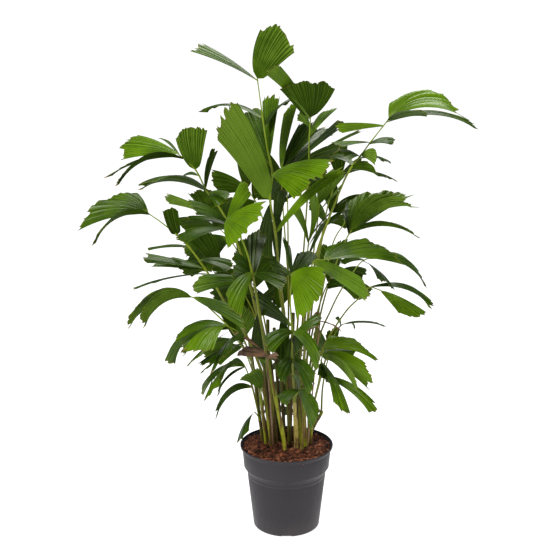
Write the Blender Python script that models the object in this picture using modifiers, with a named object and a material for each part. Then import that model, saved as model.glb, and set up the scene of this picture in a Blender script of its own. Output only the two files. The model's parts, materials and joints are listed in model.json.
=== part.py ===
"""Fishtail palm in a nursery pot: pot, potting mix, canes, leafy crowns and two dead fronds. Metres, +Z up."""

import math
import random

import bmesh
import bpy
from mathutils import Vector, noise
from mathutils.bvhtree import BVHTree

# Driving dimensions, in metres and radians. Plant places below are in centimetres, which cm turns into metres.
cm = 0.01
gap = 0.0003
flatAngle = math.radians(3.6)  # faces this close to one plane are one face

pot = {
    "height": 0.225, "rimRadius": 0.120, "lipHeight": 0.006, "collarTop": 0.1150, "collarFoot": 0.1105,
    "collarDrop": 0.058, "stepDrop": 0.068, "wallTop": 0.1030, "wallFoot": 0.0860, "footRadius": 0.0815,
    "corner": 0.006, "wall": 0.0018, "lipRound": 0.0011, "collarTaper": 0.0012, "channelIn": 0.052,
    "channelOut": 0.074, "channelRise": 0.004, "channelEase": 0.003, "steps": 24, "drainHoles": 6,
    "drainRadius": 0.005, "drainSides": 8, "slots": 4, "slotWidth": 0.026, "slotHeight": 0.004,
    "slotReach": 0.014, "cutDepth": 0.02,
}
mix = {"level": 0.2165, "mound": 0.003, "roughness": 0.0036, "chipsPerMetre": 90.0, "levelEdge": 0.97, "rings": 2,
       "wallClear": 0.0006}
cane = {"buried": 0.035, "upright": 0.01, "bow": 0.12, "topRadius": 0.0046, "sides": 6}
petiole = {"baseRadius": 0.0027, "endRadius": 0.0013, "sheathLength": 0.016, "sheathRadius": 0.0044,
           "sheathSides": 6, "sides": 4, "forkAt": 0.6}
blade = {"thickness": 0.0008, "clearance": 0.0005, "rootWidth": 0.0032, "camber": 0.05, "notch": (0.10, 0.20),
         "wide": 0.11, "narrow": 0.05, "long": 0.2, "spacing": 0.006}

# The fronds made by rule: where they bend and branch, and the ranges that a leaflet's turn, opening, reach,
# depth and arch are drawn from. Angles are in radians.
wild = {"elbowOut": 0.4, "elbowUp": 0.9, "steps": (0.3, 0.6, 0.8, 1.0), "pairStep": 0.8, "turn": (0.25, 0.55),
        "pairTurn": 0.5, "open": (0.5, 0.8), "depth": 0.5, "reach": (0.85, 1.15), "shortEdge": 0.7,
        "arch": (0.05, 0.15), "bulge": 0.1, "belly": 0.35}

# How far, in centimetres, a stalk or a leaflet may bend along the line of sight to stand clear of others.
bends = {"stalk": (0, -0.7, 0.7, -1.4, 1.4, -2.1, 2.1, -2.8, 2.8, -3.5, 3.5), "leaflet": (1, 2, 3, 4, 5.5, 7, 9)}

# Where the plant's front is looked at from, in centimetres. Front places are given as x and z in the
# upright plane through the pot's axis, and a depth y that slides them along the line of sight.
eye = Vector((-2.6, -310.4, 155.5))
frontDepth = 1.9  # how much deeper than drawn the fronds' places are, from the front to the back


def place(x, z, y):
    seen = Vector((x, 0.0, z))
    return (eye + (seen - eye) * (1.0 - y / eye.y)) * cm


def deep(x, z, y):
    return place(x, z, y * frontDepth)


def leaf(at, tip, side, arch=0.1, bulge=0.08, belly=0.3):
    """A leaflet rooted at step `at` of its frond: tip ends its long edge, side ends its short edge."""
    return {"at": at, "tip": deep(*tip), "side": deep(*side), "arch": arch, "bulge": bulge, "belly": belly}


def frond(path, *leaflets):
    """A leaf stalk through the crown and the places of path, with its leaflets."""
    return {"path": [deep(*p) for p in path], "leaflets": list(leaflets)}


# Each shoot: the foot of its cane on the mix (x, y), its crown (x, z, y), its foot radius, and its fronds.
shoots = {
    "tall": {
        "foot": (0.8, 2.2), "crown": (0.0, 45, 3), "radius": 0.55,
        "fronds": [frond(
            [(-0.8, 58, 1), (-2.1, 70, -1), (-2.9, 79, -2), (-4.2, 87.3, -2), (-3.6, 93.6, -1.5),
             (-4.9, 100, -1), (-5.9, 107, 0), (-7.2, 116.8, 1)],
            leaf(4, (-12, 111, -7), (-16.9, 101.8, -8), 0.05, 0.16, 0.6),
            leaf(4, (-2.2, 93, 2), (-1.3, 89.3, 3)),
            leaf(4, (-3.5, 71.5, 4), (-7.8, 75, 4), 0.02),
            leaf(1, (1.6, 44.5, 0.4), (-2.8, 46, 0.4), 0.02),
            leaf(2, (-1, 82.4, 4), (-4.3, 81.6, 3.6), 0.02),
            leaf(3, (0.2, 89.2, 2.5), (-3.2, 88.8, 2), 0.02),
            leaf(5.3, (-6.3, 109.6, 4), (-10.6, 107.7, 3), 0.04, 0.05),
            leaf(5.6, (-1.7, 112.9, 3), (-6, 111.2, 5), 0.03, 0.05),
            leaf(5, (11.6, 96.9, -9), (1.8, 87.1, -10), 0.07, 0.08, 0.2),
            leaf(3, (15.6, 94.7, -6), (9.2, 93.4, -3), 0.06, 0.0, 0.35),
            leaf(6.6, (3, 112.2, 3), (0, 110.5, 6), 0.15),
            leaf(7, (-21.6, 108.7, 2), (-18, 109.7, 4), 0.17, 0.0, 0.4),
            leaf(8, (-6.4, 128.4, -2), (1.7, 122.9, -3), 0.05, 0.37, 0.5),
            leaf(8, (-23.2, 123.2, 2), (-20.2, 125.1, 4), 0.04, -0.12, 0.0),
        )],
    },
    "upper_right": {
        "foot": (2.4, 3.8), "crown": (2, 44, 5), "radius": 0.5,
        "fronds": [
            frond([(0.5, 65, 6.5), (-1, 85, 6), (-1.4, 94.8, 4.5)],
                  leaf(3, (2.7, 111.2, 7), (-1.1, 107, 8), 0.03, 0.1, 0.4),
                  leaf(3, (8.2, 105, 6), (3, 106, 8), 0.03),
                  leaf(3, (12, 103.4, 9), (7.2, 104.6, 12)),
                  leaf(3, (13.8, 105.3, 4), (11.4, 105.9, 8), 0.02, 0.05, 0.15),
                  leaf(3, (19.4, 104.6, 3), (14, 102.6, 4), 0.03, 0.0, 0.35),
                  leaf(3, (13.4, 101.4, 2.5), (9.6, 95.8, 2))),
            frond([(4, 72, 6), (5.2, 92, 4), (5.3, 101, 2), (5.6, 107.4, 1)],
                  leaf(4, (-1.9, 114.2, -3), (11.5, 114.3, -1.5), 0.05, 0.14, 0.4),
                  leaf(4, (-6, 118.3, -5), (-1.7, 119.7, -3), 0.05, 0.0),
                  leaf(3.3, (12.7, 110, 3), (7.6, 108, 5), 0.05, 0.0),
                  leaf(3.6, (3.3, 109.9, 3), (2.3, 106.6, 4))),
        ],
    },
    "right_top": {
        "foot": (4.9, -0.7), "crown": (4, 38, -1), "radius": 0.6,
        "fronds": [frond(
            [(5.5, 58, -2.5), (7.2, 72, -4), (9.5, 80, -5), (13, 89.5, -5), (15.3, 94.5, -5),
             (18, 98.2, -4), (20.2, 101.3, -3), (24.6, 107.1, -2)],
            leaf(8, (43.8, 106.9, -4), (24.8, 110.9, 0), 0.19, 0.24, 0.2),
            leaf(8, (34, 107.5, -6), (30, 108.9, -10), 0.06),
            leaf(8, (46.5, 104.4, -1), (41.5, 107.2, 2), 0.14, 0.0, 0.15),
            leaf(5, (27.4, 91.4, -3), (22.3, 92.8, -1), 0.09, -0.05, 0.15),
            leaf(6, (21.6, 95.4, -8), (20.9, 99.9, -7), 0.05, 0.25, 0.2),
            leaf(6, (12.2, 99.6, -6), (15.2, 96.8, -9)),
            leaf(5.3, (10, 97.4, -2), (13.4, 98.4, -1)),
            leaf(5.3, (22.4, 93.2, -7), (18.8, 96.8, -6), 0.05),
            leaf(6, (25.5, 95.9, -1), (23, 96.6, 2)),
            leaf(7, (10.4, 101.3, -7), (13.6, 100.2, -8), 0.03),
            leaf(7.7, (11.6, 105.9, -3), (13.2, 103.5, -3), 0.03, 0.0, 0.2),
            leaf(7, (25.7, 100.5, -5), (25.2, 102.5, -1)),
        )],
    },
    "inner_right": {
        "foot": (3.6, 1.8), "crown": (3.2, 42, 2), "radius": 0.5,
        "fronds": [
            frond([(5, 60, 2.5), (6.9, 76, 2), (7.4, 80.5, 1.5), (8, 86, 1)],
                  leaf(4, (14.4, 93.2, 0), (7.2, 91.2, -1), 0.05, 0.1, 0.2),
                  leaf(3.6, (14, 91.5, 3), (12.3, 88.6, 4), 0.05)),
            frond([(4.2, 60, 0.5), (5, 72, 0), (5.4, 77, 0)],
                  leaf(3, (15.2, 87.5, 3), (11.5, 84.4, 4)),
                  leaf(2.6, (13.9, 84.7, 0), (12.5, 82, -1)),
                  leaf(2, (10.5, 82.5, -3), (7.8, 80, -3)),
                  leaf(2.8, (2.6, 86.5, -2), (1.5, 83.6, -3), 0.05),
                  leaf(3, (7.5, 88.4, -1), (5, 88.6, -2))),
        ],
    },
    "right_middle": {
        "foot": (6.0, 3.2), "crown": (5.5, 40, 5), "radius": 0.5,
        "fronds": [
            frond([(9, 60, 4), (12.3, 71, 3), (14.6, 76.9, 2), (16, 79.4, 1.5)],
                  leaf(4, (33, 85.1, -3), (19.3, 87.3, 0), 0.17, 0.1, 0.25),
                  leaf(4, (31.6, 88.5, 8), (15.2, 86.8, 5), 0.06, 0.06, 0.2),
                  leaf(4, (33.5, 77.1, -4), (27, 80.8, -2), 0.15, 0.0, 0.2),
                  leaf(3.5, (13, 84.4, 5), (15.5, 83.8, 7))),
            frond([(8.6, 62, 6.5), (11.3, 75.7, 7), (14.3, 81.3, 7.5)],
                  leaf(3, (20, 86, 12), (14.5, 86.5, 13))),
        ],
    },
    "right": {
        "foot": (4.0, -2.6), "crown": (5, 35, -3), "radius": 0.45,
        "fronds": [
            frond([(8.1, 51, 1), (11, 58.5, 1), (13.5, 63.8, 0), (17.8, 70.4, -2), (19.8, 72, -3)],
                  leaf(5, (35.3, 64.1, -2), (31, 70.6, 1), 0.2, 0.0, 0.15),
                  leaf(4.6, (27.3, 63.6, -6), (22.6, 66.8, -8), 0.1, 0.0, 0.4),
                  leaf(5, (13, 71.6, -1), (14.2, 70.4, -2))),
            frond([(9.2, 48.5, -0.5), (11.5, 53, -1), (15, 58.5, -2), (18.3, 62, -4), (20.5, 64.6, -6),
                   (23.6, 63.8, -7)],
                  leaf(5, (36.8, 58.8, -5), (35, 61.8, -2), 0.18, 0.0, 0.15),
                  leaf(6, (35.3, 58, -8), (28.2, 57.8, -9), 0.04, 0.15),
                  leaf(5, (10, 64, -4), (11.2, 67, -3))),
            frond([(4.3, 52, -6), (5, 64, -7.5), (6.6, 71.2, -9), (9.3, 71.7, -10)],
                  leaf(3, (20.7, 60.2, -17), (18.6, 67.3, -16), 0.03, 0.05, 0.5),
                  leaf(4, (29.5, 70.3, -12), (10.2, 75.3, -9), 0.1, 0.14, 0.2)),
        ],
    },
    "front": {
        "foot": (2.6, -1.6), "crown": (2, 34, -5), "radius": 0.8,
        "fronds": [
            frond([(1.4, 45.6, -7), (1.4, 53.1, -8), (0.9, 60, -9), (1.2, 68.3, -10)],
                  leaf(1, (-0.6, 38, -12), (-2.9, 43.6, -10), 0.15),
                  leaf(1, (5.6, 35, -13), (7.5, 41.6, -12), 0.15),
                  leaf(2, (-3.6, 47, -13), (-5.9, 51.6, -11), 0.12, 0.12, 0.4),
                  leaf(2, (7.5, 41.7, -15), (8.4, 48.2, -14), 0.2),
                  leaf(2, (-2, 40.5, -3), (3, 42.5, -4), 0.02),
                  leaf(2, (2.2, 46.6, -11), (4.4, 49.6, -11)),
                  leaf(2.2, (-8.4, 65, -3.5), (-6.5, 57.6, -5), 0.05, 0.12),
                  leaf(2, (8.3, 58.2, -8), (8.7, 54.9, -9)),
                  leaf(4, (2.6, 55.4, -15), (9.3, 69.6, -13), 0.08, 0.2, 0.2),
                  leaf(4, (-4.6, 72.4, -8), (-2.8, 68.4, -9)),
                  leaf(4, (-1.4, 78, -9), (1, 74.6, -8)),
                  leaf(4, (8.4, 72.6, -7), (2.6, 73.6, -6), 0.05)),
            frond([(3.1, 37.3, -7.5)],
                  leaf(1, (-0.2, 32.7, -12), (-2.4, 35.8, -10)),
                  leaf(1, (6.4, 25.1, -14), (7.9, 34, -12), 0.1, 0.18),
                  leaf(1, (1, 41.2, -9), (3, 41, -8))),
        ],
    },
    "left_centre": {
        "foot": (-0.4, -3.0), "crown": (-5, 46, -4), "radius": 0.6,
        "fronds": [frond(
            [(-6.9, 58, -5.5), (-8.7, 68.6, -7), (-10.6, 75.5, -8), (-13, 79.8, -8.5), (-15.2, 81.8, -9)],
            leaf(2, (-11.6, 56, -14), (-14.8, 64.2, -11), 0.08, 0.15, 0.25),
            leaf(2, (0.2, 68, -9), (-1.6, 63.8, -10)),
            leaf(1, (-4.2, 44.5, 1), (-9.2, 47.5, 1), 0.03),
            leaf(2, (-4.6, 79, -5), (-10.4, 77.5, -4), 0.03, 0.1, 0.4),
            leaf(2, (-13, 74.3, -6), (-13.2, 65.6, -9)),
            leaf(2, (-23.4, 62.6, -8), (-21.4, 68, -6), 0.06, 0.12, 0.1),
            leaf(5, (-4.9, 86.7, -12), (-14.7, 74.8, -14), 0.08, 0.2, 0.15),
            leaf(5, (-8.7, 88.2, -6), (-11.2, 91.9, -5), 0.05, 0.1),
            leaf(5, (-29.8, 88.8, -7), (-29, 86, -6), 0.06, 0.0, 0.0),
            leaf(5, (-24.4, 87.2, -10), (-22.4, 83.2, -11)),
            leaf(5, (-26.2, 81.4, -8), (-22.7, 83, -6)),
            leaf(5, (-27.9, 77.8, -10), (-25, 75.8, -12)),
        )],
    },
    "left_top": {
        "foot": (-2.6, 1.4), "crown": (-5, 44, 1.5), "radius": 0.5,
        "fronds": [frond(
            [(-8, 60, 1.5), (-12, 75, 1), (-16, 84, 0.5), (-19.7, 89.2, 0), (-22.4, 94.6, 0), (-26.6, 98.5, 0)],
            leaf(1, (-3, 65.4, 3.4), (-3.8, 59.4, 3.6), 0.03),
            leaf(6, (-40.6, 96.9, 2), (-36.2, 103.1, 5), 0.05, 0.2, 0.15),
            leaf(6, (-31.5, 102.2, 7), (-29.5, 101.8, 8)),
            leaf(6, (-45.2, 92.3, -4), (-39, 96, -3), 0.09, -0.08, 0.15),
            leaf(6, (-42.3, 90.3, -8), (-38.4, 95.2, -7), 0.16, -0.1, 0.1),
            leaf(5, (-27.1, 102.3, -1), (-19.3, 104.3, -2), 0.05, 0.18, 0.5),
            leaf(4, (-36.9, 89.4, -2), (-32, 91.5, -7), 0.16),
            leaf(4.7, (-25.6, 92.5, 3), (-24.5, 93.4, 5)),
            leaf(4.1, (-16.3, 100.3, 2), (-19.6, 96.5, 0), 0.05, 0.1),
            leaf(4, (-14.1, 88.9, -2), (-15, 87, -4)),
            leaf(4, (-14, 86.7, -3.5), (-17.5, 85.3, -4)),
        )],
    },
    "left_middle": {
        "foot": (-4.0, -0.6), "crown": (-6.3, 41, -1), "radius": 0.5,
        "fronds": [frond(
            [(-10, 51.5, -2), (-15.3, 60.2, -2.5), (-18, 65.3, -2.5), (-20.3, 69.3, -2.5), (-24.3, 75, -2.5),
             (-27.3, 78.2, -2.5), (-31, 81.3, -2.5), (-34.3, 83.7, -2.5)],
            leaf(8, (-52, 79, -4), (-36.8, 88.8, 0), 0.1, 0.15, 0.2),
            leaf(8, (-48.6, 75.2, -8), (-44.6, 80.6, -8), 0.2, 0.0, 0.2),
            leaf(6, (-30.7, 84.4, -3), (-26.8, 84.2, -2), 0.03, 0.15, 0.75),
            leaf(4, (-35.4, 73.6, -3), (-34.8, 70.9, -5), 0.03, 0.05, 0.1),
            leaf(4, (-34.7, 69.9, -1), (-28.5, 72.5, -1), 0.05, 0.0),
            leaf(5, (-34.8, 74, 0), (-31, 75.2, 4), 0.05),
            leaf(4, (-38.5, 64, -2), (-33, 65.7, 2), 0.05),
            leaf(4.4, (-13.6, 71.6, -2), (-15, 68.6, -5)),
        )],
    },
    "left_low": {
        "foot": (-5.4, 1.0), "crown": (-6.6, 35, -3), "radius": 0.45,
        "fronds": [
            frond([(-9, 45, -5), (-13, 52, -6), (-16, 55.7, -6.5), (-19.5, 59.2, -6.5), (-22, 61.4, -6.5),
                   (-24.6, 62.3, -6.5)],
                  leaf(6, (-40.6, 53.2, -6), (-33.8, 62.8, -9), 0.2, 0.08),
                  leaf(6, (-36.7, 53.4, -10), (-35.2, 60.4, -11), 0.24, 0.08),
                  leaf(5.6, (-9.8, 52.6, -11), (-14.6, 60.4, -9), 0.04, 0.05)),
            frond([(-8.5, 44, -7), (-10.7, 50.3, -9.5), (-13, 53.3, -10.5), (-15.4, 54.5, -11)],
                  leaf(4, (-26.6, 47.7, -17), (-18.6, 48, -18), 0.14, 0.1),
                  leaf(4, (-28.4, 49.8, -12), (-24.2, 55, -8), 0.15),
                  leaf(4, (-28.8, 44.1, -9), (-30.6, 46, -9), 0.25),
                  leaf(4, (-26.8, 46, -14), (-25, 51, -12), 0.2),
                  leaf(4, (-25.9, 43.2, -12), (-21.7, 46.5, -13)),
                  leaf(2, (-19.7, 41.2, -17), (-14, 48, -16), 0.25),
                  leaf(2, (-22.8, 44.2, -12), (-19, 44.3, -13)),
                  leaf(2, (-22.4, 41.3, -10), (-19.5, 43.5, -9))),
            frond([(-6.5, 37.8, -6)],
                  leaf(1, (-12.4, 39.8, -10), (-7.5, 43.2, -9), 0.1, 0.0, 0.5)),
        ],
    },
    "left_foot": {
        "foot": (-6.3, 2.8), "crown": (-6.9, 29, 0.5), "radius": 0.4,
        "fronds": [
            frond([(-8.8, 38, -1), (-10.6, 43.5, -2.5), (-12, 44.6, -3)],
                  leaf(3, (-20, 37.2, -3), (-17, 41.8, -1), 0.2),
                  leaf(3, (-21.4, 35.7, -7), (-20.8, 39.3, -5), 0.2),
                  leaf(3, (-16.4, 40, -9), (-16.8, 41.8, -6), 0.2),
                  leaf(3, (-21.4, 33.9, -10), (-17, 38.5, -9), 0.2),
                  leaf(3, (-18, 35.2, -4), (-16, 39.5, -2), 0.15),
                  leaf(3, (-15.2, 43.8, 2), (-13, 45.8, 3)),
                  leaf(1, (-18.6, 28.8, -6), (-15.8, 36, -4), 0.22)),
            frond([(-8.2, 31.2, -2)],
                  leaf(1, (-13, 22.1, -6), (-9.7, 26, -6), 0.14)),
        ],
    },
    "right_low": {
        "foot": (6.2, 0.6), "crown": (6.8, 32, -2), "radius": 0.45,
        "fronds": [
            frond([(8.5, 41, -4), (8.8, 45, -4.5), (9.4, 48.2, -5)],
                  leaf(3, (24, 43.9, -6), (11.6, 52, -3.5), 0.2, 0.1),
                  leaf(3, (17.3, 47.8, 0), (14, 48.3, 3), 0.02),
                  leaf(3, (22, 36.3, -12), (18.8, 45.6, -10), 0.06, 0.12, 0.35),
                  leaf(3, (18.4, 36.2, -15), (16.8, 42.2, -14), 0.08),
                  leaf(2, (16.6, 30.2, -11), (12, 33.8, -11), 0.1, 0.1),
                  leaf(1, (21.8, 30.3, -9), (23, 33.5, -8), 0.14),
                  leaf(2, (12.4, 39.9, -6), (7.8, 41.2, -7)),
                  leaf(1, (13, 38.4, -2), (10, 39.3, 0))),
            frond([(10, 46, 3), (12, 52, 4), (13.6, 54.5, 4), (15, 55.2, 4)],
                  leaf(3, (12.1, 56.5, 3), (13.4, 56.4, 5)),
                  leaf(4, (17.1, 53.2, 1), (16.9, 54.8, 3), 0.2),
                  leaf(4, (25.4, 54.1, 5), (21, 55.3, 7), 0.08)),
        ],
    },
}


def smooth(points, perSpan):
    """A Catmull-Rom curve through the points, with perSpan steps from each to the next."""
    ends = [points[0] * 2 - points[1], *points, points[-1] * 2 - points[-2]]
    line = []
    for a, b, c, d in zip(ends, ends[1:], ends[2:], ends[3:]):
        for i in range(perSpan):
            t = i / perSpan
            line.append(0.5 * (2 * b + (c - a) * t + (2 * a - 5 * b + 4 * c - d) * t * t
                               + (3 * b - a - 3 * c + d) * t ** 3))
    return [*line, points[-1].copy()]


def pointOn(line, step):
    """The place at a step of a line, where 3.5 is half way from its fourth place to its fifth."""
    i = min(int(step), len(line) - 2)
    return line[i].lerp(line[i + 1], step - i)


def rootOf(line, leaflets, i):
    """Where leaflet i leaves its stalk: those drawn at one step stand a little apart, one below the other."""
    step = leaflets[i]["at"]
    below = sum(1 for other in leaflets[:i] if other["at"] == step) * blade["spacing"]
    low = line[max(0, math.ceil(step) - 1)]
    root = pointOn(line, step)
    return root + (low - root).normalized() * min(below, (low - root).length)


def upright(along, root):
    """The side of a blade that faces the light: up and away from the plant's axis, square to the blade."""
    light = Vector((root.x, root.y, 0.0)).normalized() * 0.4 + Vector((0.0, 0.0, 1.0))
    return (light - along * light.dot(along)).normalized()


def bladeMesh(spec, root, seed, thickness):
    """One leaflet: rays fan out from its root to a jagged outer edge, between a long and a short edge."""
    draw = random.Random(seed)
    tip, side = spec["tip"] - root, spec["side"] - root
    length, width = tip.length, (tip - side).length
    across = 4 if width > blade["wide"] else 2 if width < blade["narrow"] else 3
    along = 3 if length > blade["long"] else 2
    axis = (tip + side).normalized()
    lift = upright(axis, root)
    spanWay = (tip - side).normalized()
    outward = (tip - spanWay * tip.dot(spanWay)).normalized()
    notches = [0.0, *(draw.uniform(*blade["notch"]) if i % 2 else 0.0 for i in range(1, across)), 0.0]

    def point(s, t):
        ray = side.lerp(tip, s) + outward * (spec["bulge"] * width * 4 * s * (1 - s))
        arch = lift * (spec["arch"] * ray.length * 4 * t * (1 - t))
        ray *= 1 - notches[round(s * across)] * t ** 3
        forward = axis * ray.dot(axis)
        body = forward * t + (ray - forward) * t ** (1 - spec["belly"])
        neck = spanWay * (s - 0.5) * blade["rootWidth"] * (1 - t)
        camber = lift * (blade["camber"] * width * 4 * s * (1 - s) * t)
        return root + body + neck + arch + camber

    bm = bmesh.new()
    bmesh.ops.create_grid(bm, x_segments=across, y_segments=along, size=0.5)
    for vert in bm.verts:
        vert.co = point(vert.co.x + 0.5, vert.co.y + 0.5)
    bmesh.ops.triangulate(bm, faces=bm.faces[:])
    bmesh.ops.solidify(bm, geom=bm.faces[:], thickness=thickness)
    bmesh.ops.recalc_face_normals(bm, faces=bm.faces[:])
    return bm


def tubeObject(name, line, radii, sides):
    """A solid round rod along a line, whose radius runs through the given radii, made a mesh."""
    curve = bpy.data.curves.new(name, "CURVE")
    curve.dimensions = "3D"
    curve.bevel_depth = 1.0
    curve.bevel_resolution = (sides - 4) // 2
    curve.use_fill_caps = True
    spline = curve.splines.new("POLY")
    spline.points.add(len(line) - 1)
    for i, (point, spot) in enumerate(zip(spline.points, line)):
        at = i / (len(line) - 1) * (len(radii) - 1)
        low = min(int(at), len(radii) - 2)
        point.co = (*spot, 1.0)
        point.radius = radii[low] + (radii[low + 1] - radii[low]) * (at - low)
    rod = bpy.data.objects.new(name, curve)
    bpy.context.scene.collection.objects.link(rod)
    return made(rod)


def made(source):
    """The object's evaluated shape as a plain mesh with welded caps, in place of the object."""
    bpy.context.view_layer.update()
    shape = bpy.data.meshes.new_from_object(source.evaluated_get(bpy.context.evaluated_depsgraph_get()))
    name, matrix = source.name, source.matrix_world.copy()
    bpy.data.objects.remove(source)
    shape.name = name
    result = bpy.data.objects.new(name, shape)
    result.matrix_world = matrix
    bm = bmesh.new()
    bm.from_mesh(shape)
    bmesh.ops.remove_doubles(bm, verts=bm.verts[:], dist=1e-6)
    bmesh.ops.recalc_face_normals(bm, faces=bm.faces[:])
    bm.to_mesh(shape)
    bm.free()
    return result


def wildFrond(crown, end, size, pairs, seed):
    """A frond by rule: it arches from the crown to its end and spreads pairs of leaflets of about one size."""
    draw = random.Random(seed)
    elbow = crown.lerp(end, wild["elbowOut"])
    elbow.z = crown.z + (end.z - crown.z) * wild["elbowUp"]
    path = [crown.lerp(elbow, t).lerp(elbow.lerp(end, t), t) for t in wild["steps"]]
    run = path[-1] - path[-2]
    heading = math.atan2(run.z, run.x)
    leaflets = []
    for pair in range(pairs):
        step = len(path) - pair * wild["pairStep"]
        root = pointOn([crown, *path], step)
        for hand in (-1, 1):
            turn = heading + hand * (wild["pairTurn"] * pair + draw.uniform(*wild["turn"]))
            opened = turn + hand * draw.uniform(*wild["open"])
            near, far = (draw.uniform(-wild["depth"], wild["depth"]) for _ in range(2))
            reach = size * draw.uniform(*wild["reach"])
            leaflets.append({
                "at": step, "tip": root + Vector((math.cos(turn), near, math.sin(turn))) * reach,
                "side": root + Vector((math.cos(opened), far, math.sin(opened))) * reach * wild["shortEdge"],
                "arch": draw.uniform(*wild["arch"]), "bulge": wild["bulge"], "belly": wild["belly"]})
    return {"path": path, "leaflets": leaflets}


# The shoots at the back, whose fronds are made by rule: where each ends (x, z, y), its leaflets' size and pairs.
backShoots = {
    "back_left": {"foot": (-2.2, 5.2), "crown": (-4, 44, 8), "radius": 0.5,
                  "wild": [(-17, 80, 24, 12, 2), (-17, 70, 18, 12, 1), (-9, 66, 14, 13, 2)]},
    "back_centre": {"foot": (1.0, 6.2), "crown": (0.5, 46, 9), "radius": 0.5,
                    "wild": [(-3, 60, 14, 13, 2), (0, 90, 22, 13, 2), (-10, 90, 26, 12, 2)]},
    "back_right": {"foot": (4.0, 6.2), "crown": (5, 44, 10), "radius": 0.5,
                   "wild": [(12, 68, 22, 10, 2), (11, 84, 24, 9, 2), (13, 93, 17, 8, 1)]},
    "back_low": {"foot": (-5.0, 5.0), "crown": (-6, 30, 6.5), "radius": 0.4,
                 "wild": [(-13, 51, 16, 11, 2), (-5, 42, 14, 11, 1), (-5, 33, 11, 8, 1)]},
    "back_foot": {"foot": (6.4, 5.0), "crown": (8.5, 30, 8), "radius": 0.4,
                  "wild": [(11, 47, 18, 8, 2), (2, 40, 16, 10, 1)]},
}

# Old canes with no crown left: the foot on the mix (x, y), the top (x, z, y) and the foot's radius.
oldCanes = {
    "old_left": {"foot": (-3.6, 2.5), "top": (-5.8, 44.5, 3.6), "radius": 0.5},
    "old_far_left": {"foot": (-6.4, 3.9), "top": (-9.5, 51, 5.6), "radius": 0.4},
    "old_middle": {"foot": (-0.5, 1.9), "top": (-1.6, 44.6, 2.3), "radius": 0.45},
    "old_front": {"foot": (0.9, -0.2), "top": (1.6, 57.9, -0.9), "radius": 0.45},
    "old_right": {"foot": (2.9, 6.0), "top": (2.8, 44, 7.4), "radius": 0.4},
    "old_back_left": {"foot": (-4.5, 6.7), "top": (-4.8, 56.1, 7.1), "radius": 0.4},
    "old_back": {"foot": (-1.5, 4.1), "top": (-3.2, 54, 6.6), "radius": 0.4},
}

# Dead fronds, dried brown on their stalks: the foot on the mix (x, y), the stalk's places and its leaflets.
deadFronds = {
    "dried_frond_left": {"foot": (-3.4, -2.8), "frond": frond(
        [(-4.3, 35, -9), (-5, 47, -9)],
        leaf(2, (-14.5, 53, -8), (-9.5, 50.4, -8), 0.05),
        leaf(2, (-12.6, 46.2, -9), (-10, 49.3, -8), 0.05),
        leaf(2, (-2.4, 45.6, -9), (-2.6, 47.4, -10)))},
    "dried_frond_right": {"foot": (5.4, -4.2), "frond": frond(
        [(6.6, 36, -9), (8.4, 55.7, -7)],
        leaf(2, (14.3, 52.6, -8), (12, 54.4, -8), 0.1),
        leaf(2, (5, 53, -8), (8, 58.6, -7), 0.05))},
}


def footOf(foot):
    """The buried end of a cane and the place above the mix up to which it stands upright."""
    base = Vector((foot[0] * cm, foot[1] * cm, mix["level"] - cane["buried"]))
    return base, base + Vector((0.0, 0.0, cane["buried"] + cane["upright"]))


def caneLine(foot, crown):
    """A cane's line: it stands upright in the mix and then leans in a slow curve to its crown."""
    base, top = footOf(foot)
    return [base, top, top.lerp(crown, 0.5) + (top - base) * cane["bow"], crown]


def inside(clear):
    """The pot's inner outline below the mix's level, as (radius, height), clear of the wall by clear."""
    floor, wall = pot["wall"] + clear, -clear
    rise = pot["channelRise"]
    return [
        (pot["collarTop"] - pot["collarTaper"] + wall, mix["level"]),
        (pot["collarFoot"] + wall, pot["height"] - pot["collarDrop"]),
        (pot["wallTop"] + wall, pot["height"] - pot["stepDrop"]),
        (pot["wallFoot"] + wall, pot["corner"] + floor),
        (pot["footRadius"] + wall, floor),
        (pot["channelOut"] - wall, floor),
        (pot["channelOut"] - pot["channelEase"] - wall, rise + floor),
        (pot["channelIn"] + pot["channelEase"] + wall, rise + floor),
        (pot["channelIn"] + wall, floor),
    ]


def profileObject(name, outline, steps):
    """A turned shape: the outline, as (radius, height), swept round the upright axis."""
    mesh = bpy.data.meshes.new(name)
    bm = bmesh.new()
    verts = [bm.verts.new((radius, 0.0, height)) for radius, height in outline]
    for a, b in zip(verts, verts[1:]):
        bm.edges.new((a, b))
    bm.to_mesh(mesh)
    bm.free()
    turned = bpy.data.objects.new(name, mesh)
    screw = turned.modifiers.new("Screw", "SCREW")
    screw.steps = screw.render_steps = steps
    screw.use_merge_vertices = True
    screw.merge_threshold = 0.0001
    return turned


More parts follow.
